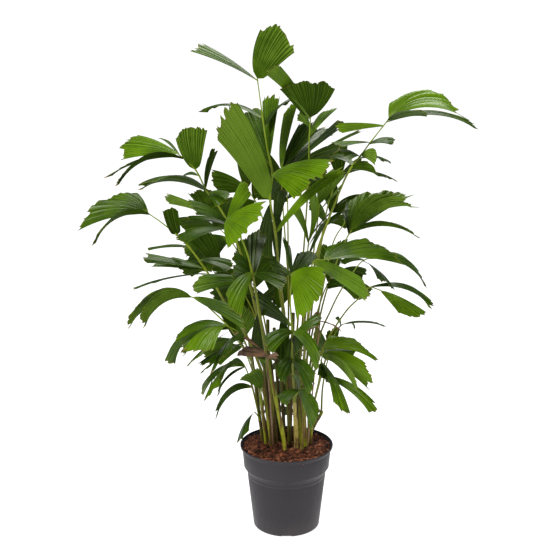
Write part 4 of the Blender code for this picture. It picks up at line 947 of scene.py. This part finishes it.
def cover(material, look, base, rough, height):        # rough and height are masks that the look gives weights to
    tree = material.node_tree
    strength, distance = look["relief"]
    evenRough, *weights = look["roughness"]
    bump = put(tree, "ShaderNodeBump", {
        "Height": weighed(height, look["height"]), "Strength": strength, "Distance": distance}, "Normal")
    looks = {"Base Color": base, "Roughness": weighed(rough, weights) + evenRough, "Normal": bump, **look["even"]}
    for name, value in looks.items():
        plug(tree, tree.nodes["Principled BSDF"].inputs[name], value)
    return material


# Finishes. In a look, a layer is how far it covers, its colour and, for some, the range over which its mask
# rises. A pattern is its scale and such a range, or for grain its scale and stretch. Relief is a bump's
# strength and distance in metres, roughness is the even value and then each mask's weight, and even values
# are set on the shader as they are.
rimBrown, leafSheen = colour(0.11, 0.10, 0.015), colour(0.75, 1.0, 0.2)
veinsPerLobe = 7.0
leafLook = {
    "greens": ((0.0, colour(0.005, 0.013, 0.001)), (0.45, colour(0.020, 0.052, 0.001)),
               (1.0, colour(0.100, 0.195, 0.001))),
    "grooveShade": (0.2, colour(0.008, 0.018, 0.001)), "line": (0.7, colour(0.008, 0.018, 0.001)),
    "vein": (0.4, colour(0.08, 0.15, 0.01)), "neck": (0.8, colour(0.12, 0.17, 0.02)), "neckTo": 0.16,
    "rim": (0.7, rimBrown, 0.965, 1.0), "specks": (0.25, rimBrown),
    "dryTip": (1.0, colour(0.20, 0.11, 0.04)), "tip": (0.9, 1.0), "dryLeaves": (0.45, 0.6),
    "patch": (16.0, 0.3, 0.7), "speck": (220.0, 0.62, 0.72), "ripple": (55.0, 0.2, 0.8),
    "patchesAndPaintedShade": (0.3, 0.3, 0.15), "roughness": (0.34, 0.14, 0.08, 0.2),
    "relief": (0.5, 0.0006), "height": (1.0, 0.3, 1.4),
    "even": {"Specular IOR Level": 0.15, "Specular Tint": leafSheen, "Coat Weight": 0.22, "Coat Roughness": 0.26},
}
underLook = {
    "greens": ((0.0, colour(0.009, 0.019, 0.001)), (0.5, colour(0.032, 0.072, 0.001)),
               (1.0, colour(0.140, 0.240, 0.020))),
    "grooveShade": (0.4, colour(0.012, 0.024, 0.003)), "line": (0.5, colour(0.012, 0.024, 0.003)),
    "vein": (0.5, colour(0.10, 0.16, 0.03)), "rim": (0.6, rimBrown, 0.965, 1.0), "patch": (22.0, 0.3, 0.7),
    "patchesAndPaintedShade": (0.25, 0.35, 0.15), "roughness": (0.55, 0.12), "relief": (0.5, 0.0006), "height": (1.0,),
    "even": {"Specular IOR Level": 0.08, "Specular Tint": leafSheen},
}
dryDark, dryLight = colour(0.045, 0.020, 0.010), colour(0.19, 0.095, 0.042)
dryLook = {
    "dark": dryDark, "light": (1.0, dryLight), "vein": (0.5, colour(0.36, 0.23, 0.12)), "patch": (60.0, 0.3, 0.7),
    "roughness": (0.6, 0.2), "relief": (0.6, 0.0008), "height": (1.0, 1.0), "even": {},
}
dryStalkLook = {
    "dark": dryDark, "light": (1.0, dryLight, 0.35, 0.65), "end": (0.5, dryLight), "grain": (220.0, 0.06),
    "roughness": (0.5, 0.3), "relief": (0.6, 0.0006), "height": (1.0,), "even": {},
}


def leafFacts(tree):        # what is stored on a leaflet, and the masks of its veins
    facts = {name: read(tree, name) for name in ("span", "reach", "tone", "lobes", "seed")}
    return facts, used(tree, "Leaf veins", {
        "Span": facts["span"], "Reach": facts["reach"], "Count": facts["lobes"] * veinsPerLobe})


def leafGreen(look, facts, veins, patch):        # older or younger in patches, with painted light and shade across the pleats and towards the stalk
    patches, pleatShade, outwards = look["patchesAndPaintedShade"]
    band = veins["Band"]
    # Painted light and shade: the bands light one side of each pleat and shade the other, and the tone falls towards
    # the stalk as painted shade
    toneWithPaintedLight = facts["tone"] + (patch - 0.5) * patches + (band - 0.5) * pleatShade + (facts["reach"] - 0.6) * outwards
    # The groove layer is painted shade in the hollows between pleats; the dark fine lines are vein colour and painted
    # shade in the creases
    return layered(ramp(toneWithPaintedLight, *look["greens"]), (1.0 - band, look["grooveShade"]),
                   (veins["Line"], look["line"]), (veins["Rib"], look["vein"]))


def makeUpperFace(look):
    material, tree, here = blank("Leaf upper face")
    facts, veins = leafFacts(tree)
    patch, speck, ripple = (mottle(here, *look[name]) for name in ("patch", "speck", "ripple"))
    reach = facts["reach"]
    dry = steps(reach * facts["span"], *look["tip"]) * steps(facts["seed"], *look["dryLeaves"])
    green = layered(
        leafGreen(look, facts, veins, patch), (1.0 - steps(reach, 0.0, look["neckTo"]), look["neck"]),
        (reach, look["rim"]), (dry, look["dryTip"]), (speck, look["specks"]))
    return cover(material, look, green, (patch, veins["Rib"], speck), (veins["Height"], patch, ripple))


def makeUnderFace(look):
    material, tree, here = blank("Leaf under face")
    facts, veins = leafFacts(tree)
    patch = mottle(here, *look["patch"])
    pale = layered(leafGreen(look, facts, veins, patch), (facts["reach"], look["rim"]))
    return cover(material, look, pale, (patch,), (veins["Height"],))


def makeDryLeaf(look):
    material, tree, here = blank("Dried leaf")
    veins = leafFacts(tree)[1]
    patch = mottle(here, *look["patch"])
    brown = layered(look["dark"], (patch, look["light"]), (veins["Rib"], look["vein"]))
    return cover(material, look, brown, (patch,), (veins["Height"], patch))


def makeDryStalk(look):
    material, tree, here = blank("Dried stalk")
    streak = grain(here, *look["grain"])
    brown = layered(look["dark"], (streak, look["light"]), (read(tree, "reach"), look["end"]))
    return cover(material, look, brown, (streak,), (streak,))


stalkGreen = colour(0.13, 0.135, 0.012)
stalkLook = {
    "base": stalkGreen, "end": (1.0, colour(0.16, 0.23, 0.010), 0.0, 0.8), "streaks": (0.35, stalkGreen),
    "scurf": (0.6, colour(0.10, 0.060, 0.030)), "scurfFade": 0.7, "grain": (260.0, 0.06), "patch": (75.0, 0.55, 0.7),
    "roughness": (0.38, 0.25), "relief": (0.3, 0.0004), "height": (1.0, 0.5), "even": {"Specular IOR Level": 0.15},
}


def makeStalkSkin(look):
    material, tree, here = blank("Leaf stalk")
    reach, streak, scurf = read(tree, "reach"), grain(here, *look["grain"]), mottle(here, *look["patch"])
    green = layered(look["base"], (reach, look["end"]), (scurf * (1.0 - reach * look["scurfFade"]), look["scurf"]),
                    (streak, look["streaks"]))
    return cover(material, look, green, (scurf,), (streak, scurf))


# The brown mask adds up a pattern, how far the skin faces right, the way up the cane and its tone: partly the
# real sheath, and partly painted shade on the side turned away from the key lamp
sheathBrown, scarBrown = colour(0.11, 0.050, 0.026), colour(0.055, 0.035, 0.02)
caneLook = {
    "greens": ((0.06, colour(0.38, 0.29, 0.05)), (0.35, colour(0.34, 0.36, 0.02)), (1.0, colour(0.14, 0.21, 0.01))),
    "tan": (0.8, colour(0.50, 0.33, 0.14), 0.8, 1.0), "streaks": (0.35, sheathBrown, 0.3, 0.75),
    "sheath": (0.85, sheathBrown), "sheathAndShadeBy": (1.0, 0.09, -0.10, -0.09), "sheathAndShadeOver": (0.38, 0.46),
    "old": (0.75, colour(0.035, 0.026, 0.012)), "oldTones": (0.2, 0.55), "scar": (0.45, scarBrown),
    "specks": (0.5, scarBrown), "grain": (330.0, 0.05), "strip": (75.0, 0.09), "speck": (300.0, 0.6, 0.7),
    "roughness": (0.42, 0.2, 0.1), "relief": (0.5, 0.0006), "height": (0.6, 0.5, -1.0),
    "even": {"Specular IOR Level": 0.2, "Specular Tint": colour(1.0, 0.9, 0.5)},
}


def makeCaneSkin(look):
    material, tree, here = blank("Cane skin")
    reach, ring, tone = (read(tree, name) for name in ("reach", "ring", "tone"))
    streak, strip, speck = grain(here, *look["grain"]), grain(here, *look["strip"]), mottle(here, *look["speck"])
    # painted shade: skin that faces right, away from the key lamp, is pushed towards the sheath's brown
    right = put(tree, "ShaderNodeSeparateXYZ", {0: put(tree, "ShaderNodeTexCoord", output="Normal")}, "X")
    sheath = steps(weighed((strip, right, reach, tone), look["sheathAndShadeBy"]), *look["sheathAndShadeOver"])
    bark = layered(
        ramp(reach, *look["greens"]), (tone, look["tan"]), (sheath, look["sheath"]), (streak, look["streaks"]),
        (1.0 - steps(tone, *look["oldTones"]), look["old"]), (ring, look["scar"]), (speck, look["specks"]))
    return cover(material, look, bark, (sheath, speck), (streak, sheath, ring))


barkBlack = colour(0.006, 0.002, 0.001)
barkLook = {
    "dark": barkBlack, "red": (1.0, colour(0.42, 0.135, 0.060)), "redBy": (0.3, 0.7), "darkChips": 1.6,
    "light": (0.8, colour(0.46, 0.20, 0.11)), "peatLight": 0.02, "chipLight": 0.1, "fibres": (0.5, barkBlack),
    "fibre": (700.0, 0.35, 0.65), "patch": (120.0, 0.35, 0.65), "roughness": (0.62, 0.2), "relief": (0.7, 0.0008),
    "height": (1.0, 1.0), "even": {"Specular IOR Level": 0.2},
}


def makeBark(look, name, lightShare):
    material, tree, here = blank(name)
    seed, fibre, patch = read(tree, "seed"), mottle(here, *look["fibre"]), mottle(here, *look["patch"])
    brown = layered(look["dark"], (weighed((patch, seed ** look["darkChips"]), look["redBy"]), look["red"]),
                    (steps(seed, 1.0 - lightShare, 1.0), look["light"]), (fibre, look["fibres"]))
    return cover(material, look, brown, (fibre,), (fibre, patch))


plasticLook = {
    "body": colour(0.0163, 0.0137, 0.0175), "worn": (0.35, colour(0.030, 0.0245, 0.029)),
    "dust": (1.0, colour(0.11, 0.09, 0.08)), "dustBy": (0.25, 0.35), "dustTop": 0.06, "cloud": (9.0, 0.3, 0.75),
    "scuff": (120.0, 0.25), "scuffOver": (0.4, 0.7), "speck": (260.0, 0.66, 0.74), "pores": 900.0,
    "roughness": (0.42, 0.10, 0.08), "relief": (0.12, 0.0004), "height": (0.4, 1.0),
    "even": {"Specular IOR Level": 0.35},
}


def makePlastic(look):        # a little dust near the foot and in specks
    material, tree, here = blank("Pot plastic")
    cloud, speck, scuff = mottle(here, *look["cloud"]), mottle(here, *look["speck"]), grain(here, *look["scuff"])
    low = (1.0 - steps(put(tree, "ShaderNodeSeparateXYZ", {0: here}, "Z"), 0.0, look["dustTop"])) * cloud
    body = layered(look["body"], (cloud, look["worn"]), (weighed((low, speck), look["dustBy"]), look["dust"]))
    scuffed, pores = steps(scuff, *look["scuffOver"]), noiseIn(here, look["pores"])
    return cover(material, look, body, (cloud, scuffed), (scuff, pores))


# The nursery pot: a thin shell with a rolled lip, a deep collar that steps in, and a drained floor
potSize = {
    "height": 0.225, "rimRadius": 0.120, "lipHeight": 0.006, "lipRoll": 0.0016, "lipTuck": 0.0009,
    "collarTop": 0.1150, "collarFoot": 0.1105, "collarDrop": 0.058, "stepDrop": 0.068, "wallTop": 0.1030,
    "wallFoot": 0.0860, "footRadius": 0.0815, "corner": 0.006, "wall": 0.0018, "steps": 128, "sharpFrom": 35,
    "channelIn": 0.052, "channelOut": 0.074, "channelRise": 0.004, "channelEase": 0.003,
    "drainHoles": 6, "drainRadius": 0.005, "drainSides": 24, "drainCut": 0.03,
    "slots": 4, "slotWidth": 0.026, "slotHeight": 0.004, "slotLength": 0.02, "slotOut": 0.014,
    "rings": (0.013, 0.074, 0.084), "ringDepth": 0.0005, "ringWidth": 0.0028,
    "ringShape": ((-1.0, 0.0), (-0.4, 1.0), (0.4, 1.0), (1.0, 0.0)),
    "lipInside": 0.0030, "lipLean": 0.0003, "lipEdge": 0.001, "tuckIn": 0.0013, "underLip": 0.0012,
    "lipToCollar": 0.001, "stepTop": (0.0012, 0.0014), "stepFoot": (0.0008, 0.0012),
}


def arc(middle, radius, start, end, count):        # points on a circle in the profile's plane, angles in degrees
    turns = [math.radians(start + (end - start) * i / count) for i in range(count + 1)]
    return [(middle[0] + radius * math.cos(turn), middle[1] + radius * math.sin(turn)) for turn in turns]


def ringedLine(top, foot, drops):        # a straight wall with a shallow moulded groove at each drop below the rim
    line = [top]
    for drop in drops:
        z = potSize["height"] - drop
        for share, depth in potSize["ringShape"]:
            at = z - share * potSize["ringWidth"] / 2
            radius = top[0] + (foot[0] - top[0]) * (top[1] - at) / (top[1] - foot[1])
            line.append((radius - depth * potSize["ringDepth"], at))
    return [*line, foot]


def potOutline():        # down the outside from the lip's inner edge, under the floor and to the axis
    top, lip, roll, tuck = (potSize[name] for name in ("height", "lipHeight", "lipRoll", "lipTuck"))
    rise, corner, ease = potSize["channelRise"], potSize["corner"], potSize["channelEase"]
    rim, collar = potSize["rimRadius"], potSize["collarTop"]
    collarFoot = (potSize["collarFoot"], top - potSize["collarDrop"])
    wallTop = (potSize["wallTop"], top - potSize["stepDrop"])
    stepIn, stepDown = potSize["stepTop"]
    stepOut, stepUp = potSize["stepFoot"]
    return [
        *arc((collar + potSize["lipInside"], top - roll), roll, 180, 90, 5)[1:],
        *arc((rim - roll, top - roll), roll, 90, 0, 6), (rim - potSize["lipLean"], top - lip + potSize["lipEdge"]),
        *arc((rim - potSize["tuckIn"], top - lip + tuck), tuck, 0, -90, 3), (collar + potSize["underLip"], top - lip),
        *ringedLine((collar, top - lip - potSize["lipToCollar"]), collarFoot, potSize["rings"][:1]),
        (collarFoot[0] - stepIn, collarFoot[1] - stepDown), (wallTop[0] + stepOut, wallTop[1] + stepUp),
        *ringedLine(wallTop, (potSize["wallFoot"], corner), potSize["rings"][1:])[:-1],
        *arc((potSize["wallFoot"] - corner, corner), corner, 0, -90, 6)[:-1],
        (potSize["channelOut"], 0.0), (potSize["channelOut"] - ease, rise),
        (potSize["channelIn"] + ease, rise), (potSize["channelIn"], 0.0), (0.0, 0.0),
    ]


def turned(name, outline, count):        # the outline, as (radius, height), swept round the upright axis
    mesh = bpy.data.meshes.new(name)
    mesh.from_pydata([(radius, 0.0, height) for radius, height in outline],
                     [(i, i + 1) for i in range(len(outline) - 1)], [])
    piece = linked(bpy.data.objects.new(name, mesh))
    screw = piece.modifiers.new("Screw", "SCREW")
    screw.steps = screw.render_steps = count
    screw.use_merge_vertices = True
    screw.merge_threshold = weldWithin
    return piece


def keepCutter(collection):
    tool = bpy.context.object
    for other in list(tool.users_collection):
        other.objects.unlink(tool)
    collection.objects.link(tool)


def buildPot(plastic):
    shell = turned("nurseryPot", potOutline(), potSize["steps"])
    wall = shell.modifiers.new("Wall", "SOLIDIFY")
    wall.thickness = potSize["wall"]
    wall.offset = -1
    wall.use_even_offset = True
    drains = bpy.data.collections.new("Pot drains")
    scene.collection.children.link(drains)
    middle = (potSize["channelIn"] + potSize["channelOut"]) / 2
    for i in range(potSize["drainHoles"]):
        turn = math.tau * (i + 0.5) / potSize["drainHoles"]
        bpy.ops.mesh.primitive_cylinder_add(
            vertices=potSize["drainSides"], radius=potSize["drainRadius"], depth=potSize["drainCut"],
            location=(middle * math.cos(turn), middle * math.sin(turn), potSize["channelRise"]))
        keepCutter(drains)
    reach = potSize["channelOut"] + potSize["slotOut"]
    for i in range(potSize["slots"]):
        turn = math.tau * i / potSize["slots"] - math.pi / 2
        bpy.ops.mesh.primitive_cube_add(
            size=1.0, location=(reach * math.cos(turn), reach * math.sin(turn), 0.0), rotation=(0.0, 0.0, turn),
            scale=(potSize["slotLength"], potSize["slotWidth"], 2 * potSize["slotHeight"]))
        keepCutter(drains)
    cut = shell.modifiers.new("Drains", "BOOLEAN")
    cut.operand_type = "COLLECTION"
    cut.collection = drains
    pot = plainPiece(shell)
    for tool in list(drains.objects):
        bpy.data.objects.remove(tool)
    bpy.data.collections.remove(drains)
    pot.data.materials.clear()
    pot.data.materials.append(plastic)
    pot.data.shade_smooth()
    pot.data.set_sharp_from_angle(angle=math.radians(potSize["sharpFrom"]))
    placed(pot, "nursery_pot")


# The potting mix: its top is mounded and rough, with bark chips on it
mixSize = {
    "clear": 0.0006, "edgeClear": 0.0012, "footClear": 0.001, "mound": 0.003, "roughness": 0.0022, "lumps": 90.0,
    "grit": 260.0, "gritShare": 0.6, "edgeFade": 0.006, "topWithin": 0.0001, "rings": 26, "steps": 96,
}


def buildMix(peat, bark, chipTree):
    clear = potSize["wall"] + mixSize["clear"]
    edge = potSize["collarTop"] - mixSize["edgeClear"] - clear
    floor = clear + potSize["channelRise"]
    outline = [*((edge * i / mixSize["rings"], mixLevel) for i in range(mixSize["rings"] + 1)),
               (potSize["collarFoot"] - clear, potSize["height"] - potSize["collarDrop"]),
               (potSize["wallTop"] - clear, potSize["height"] - potSize["stepDrop"]),
               (potSize["wallFoot"] - clear - mixSize["footClear"], potSize["corner"] + clear),
               (potSize["footRadius"] - clear, floor), (0.0, floor)]
    body = plainPiece(turned("pottingMix", outline, mixSize["steps"]))
    onTop = {vert.index for vert in body.data.vertices if vert.co.z > mixLevel - mixSize["topWithin"]}
    for vert in body.data.vertices:
        if vert.index in onTop:
            radius = math.hypot(vert.co.x, vert.co.y)
            grit = noise.noise(vert.co * mixSize["grit"]) * mixSize["gritShare"]
            lumps = noise.noise(vert.co * mixSize["lumps"]) + grit
            fade = min(1.0, (edge - radius) / mixSize["edgeFade"])
            vert.co.z += mixSize["mound"] * (1 - (radius / edge) ** 2) + lumps * mixSize["roughness"] * fade
    body.data.materials.append(peat)
    body.data.shade_smooth()
    bm = bmesh.new()
    bm.from_mesh(body.data)
    bmesh.ops.delete(bm, geom=[vert for vert in bm.verts if vert.index not in onTop], context="VERTS")
    topMesh = bpy.data.meshes.new("barkChips")
    bm.to_mesh(topMesh)
    bm.free()
    chips = grown(linked(bpy.data.objects.new("barkChips", topMesh)), chipTree, **chipSize, Bark=bark)
    placed(body, "potting_mix")
    placed(chips, "potting_mix")


# How bright each cane is: 0 is an old brown one and 1 a tan one, and the green ones lie between
caneTones = {
    "tall": 0.35, "upper_right": 0.3, "right_top": 0.6, "inner_right": 0.45, "right_middle": 0.5, "right": 0.7,
    "front": 0.92, "left_centre": 0.62, "left_top": 0.4, "left_middle": 0.55, "left_low": 0.5, "right_low": 0.65,
}
hiddenTone = 0.25        # of a cane that isn't named above, at the back of the clump, where it is made darker
bareTone = 0.2        # of an old cane with no crown


def caneRods(name, line, footRadius):        # a thickened joint and a dark ring at every leaf scar
    fine = smooth(line, caneSize["perSpan"])
    run = [0.0]
    for a, b in zip(fine, fine[1:]):
        run.append(run[-1] + (b - a).length)
    draw = random.Random(name)
    first, last = caneSize["firstJoint"], caneSize["lastJoint"]
    joints, at = [], caneSize["buried"] + first * draw.uniform(*caneSize["firstSpread"])
    while at < run[-1] - caneSize["bareTop"]:
        joints.append(at)
        at += (first + (last - first) * (at / run[-1])) * draw.uniform(*caneSize["jointSpread"])
    radii, rings = [], []
    for length in run:
        bulge = max((math.exp(-((length - joint) / caneSize["jointWidth"]) ** 2) for joint in joints), default=0.0)
        radius = footRadius + (caneSize["topRadius"] - footRadius) * (length / run[-1])
        radii.append(radius * (1 + caneSize["swelling"] * bulge))
        rings.append(bulge)
    return fine, radii, rings


def buildCane(name, line, footRadius, tone, tree, skin):
    node = "cane_" + name
    fine, radii, rings = caneRods(camel(node), line, footRadius * cm)
    source = skeleton(camel(node), [], [(fine, radii)])
    writeAttribute(source.data, "ring", rings)
    source.data.attributes["tone"].data.foreach_set("value", [tone] * len(fine))
    placed(grown(source, tree, Sides=caneSize["sides"], Skin=skin), node)


def buildCrown(name, line, fronds, tree, finishes):        # a crown with one frond grows straight out of its sheath
    node, lean = "crown_" + name, (line[-1] - line[-2]).normalized()
    foot = line[-1] + lean * stalkSize["gap"]
    collar = foot + lean * stalkSize["sheathLength"]
    sheath = stalkSize["sheathRadius"]
    radii = [stalkSize["baseRadius"], stalkSize["endRadius"]]
    if len(fronds) == 1:
        leaflets, rods = growShoot(node, [foot, collar], [sheath, *radii], fronds)
    else:
        leaflets, rods = growShoot(node, [foot.lerp(collar, stalkSize["split"])], radii, fronds)
        rods.append(([foot, foot.lerp(collar, 0.5), collar], [sheath, sheath, stalkSize["sheathTop"]]))
    placed(grown(skeleton(camel(node), leaflets, rods), tree, **bladeSize, **finishes), node)


def camel(name):
    first, *rest = name.split("_")
    return first + "".join(word.capitalize() for word in rest)


def buildPlant(looks):
    crownTree, caneTree = buildCrownTree(), buildCaneTree()
    for name, shoot in [*shoots.items(), *backShoots.items()]:
        crown = place(*shoot["crown"])
        line = caneLine(shoot["foot"], crown)
        buildCane(name, line, shoot["radius"], caneTones.get(name, hiddenTone), caneTree, looks["cane"])
        fronds = shoot.get("fronds") or [
            wildFrond(crown, place(x, z, y), size * cm, pairs, f"{name} {x}")
            for x, z, y, size, pairs in shoot["wild"]]
        buildCrown(name, line, fronds, crownTree, looks["frond"])
    for name, old in oldCanes.items():
        line = caneLine(old["foot"], place(*old["top"]))
        buildCane(name, line, old["radius"], bareTone, caneTree, looks["cane"])
    for name, dead in deadFronds.items():
        radii = [stalkSize["baseRadius"], stalkSize["endRadius"]]
        leaflets, rods = growShoot(name, stem(dead["foot"]), radii, [dead["frond"]])
        source = skeleton(camel(name), leaflets, rods)
        placed(grown(source, crownTree, **dryBladeSize, **looks["deadFrond"]), name)


# The studio: a pale floor, soft light all round, and a camera where the photographer stood
studio = {
    "floor": 60.0, "floorLook": (colour(0.38, 0.38, 0.38), colour(0.40, 0.40, 0.395)), "floorGlow": 0.85,
    "farGlow": 0.15, "farFrom": 2.0, "farTo": 6.0, "sky": 0.15, "floorPatch": 0.8, "floorRoughness": 0.7,
    "eye": (-0.026, -3.104, 1.555), "tilt": 0.2764, "lens": 84.08, "sensor": 36.0, "sightEnd": 200.0,
}
lamps = {
    "key": {"at": (-2.2, -2.6, 3.0), "aim": (0.0, 0.0, 0.75), "size": 1.5, "power": 190.0},
    "fill": {"at": (2.8, -2.2, 1.8), "aim": (0.0, 0.0, 0.6), "size": 2.2, "power": 48.0},
    "top": {"at": (0.3, 1.2, 3.4), "aim": (0.0, 0.0, 0.8), "size": 2.0, "power": 120.0},
}


def makeFloor():        # it glows a little, and more further away, so that it stays pale up to the horizon
    material, tree, here = blank("Pale floor")
    far = steps(here.calc("LENGTH"), studio["farFrom"], studio["farTo"])
    finish = {
        "Base Color": mixed(noiseIn(here, studio["floorPatch"]), *studio["floorLook"]),
        "Roughness": studio["floorRoughness"],
        "Emission Color": colour(1.0, 1.0, 1.0), "Emission Strength": far * studio["farGlow"] + studio["floorGlow"]}
    for name, value in finish.items():
        plug(tree, tree.nodes["Principled BSDF"].inputs[name], value)
    return material


def buildStudio():
    bpy.ops.mesh.primitive_plane_add(size=studio["floor"])
    floor = bpy.context.object
    floor.name = "paleFloor"
    floor.data.materials.append(makeFloor())
    for name, lamp in lamps.items():
        light = bpy.data.lights.new(name, "AREA")
        light.energy, light.size = lamp["power"], lamp["size"]
        thing = linked(bpy.data.objects.new(name, light))
        thing.location = lamp["at"]
        thing.rotation_euler = (Vector(lamp["aim"]) - thing.location).to_track_quat("-Z", "Y").to_euler()
    world = bpy.data.worlds.new("Studio")
    world.use_nodes = True
    back = world.node_tree.nodes["Background"]
    back.inputs["Color"].default_value = colour(1.0, 1.0, 1.0)
    seen = put(world.node_tree, "ShaderNodeLightPath", output="Is Camera Ray")        # white behind, dim as a light
    plug(world.node_tree, back.inputs["Strength"], seen * (1.0 - studio["sky"]) + studio["sky"])
    scene.world = world
    camera = bpy.data.cameras.new("photoCamera")
    camera.lens, camera.sensor_width, camera.clip_end = studio["lens"], studio["sensor"], studio["sightEnd"]
    seat = linked(bpy.data.objects.new("photoCamera", camera))
    seat.location = studio["eye"]
    seat.rotation_euler = (math.pi / 2 - studio["tilt"], 0.0, 0.0)
    scene.camera = seat
    scene.view_settings.view_transform = "Standard"


def makeLooks():
    for buildGroup in (buildVeinGroup, buildMottleGroup, buildGrainGroup):
        buildGroup()
    dry = makeDryLeaf(dryLook)
    return {
        "frond": {"Upper face": makeUpperFace(leafLook), "Under face": makeUnderFace(underLook),
                  "Stalk skin": makeStalkSkin(stalkLook)},
        "deadFrond": {"Upper face": dry, "Under face": dry, "Stalk skin": makeDryStalk(dryStalkLook)},
        "cane": makeCaneSkin(caneLook), "plastic": makePlastic(plasticLook),
        "peat": makeBark(barkLook, "Peat", barkLook["peatLight"]),
        "bark": makeBark(barkLook, "Bark chip", barkLook["chipLight"]),
    }


buildStudio()
print("studio ready")
looks = makeLooks()
print("materials ready")
buildPot(looks["plastic"])
buildMix(looks["peat"], looks["bark"], buildChipTree())
print("pot and mix ready")
buildPlant(looks)
print("canes and crowns ready")
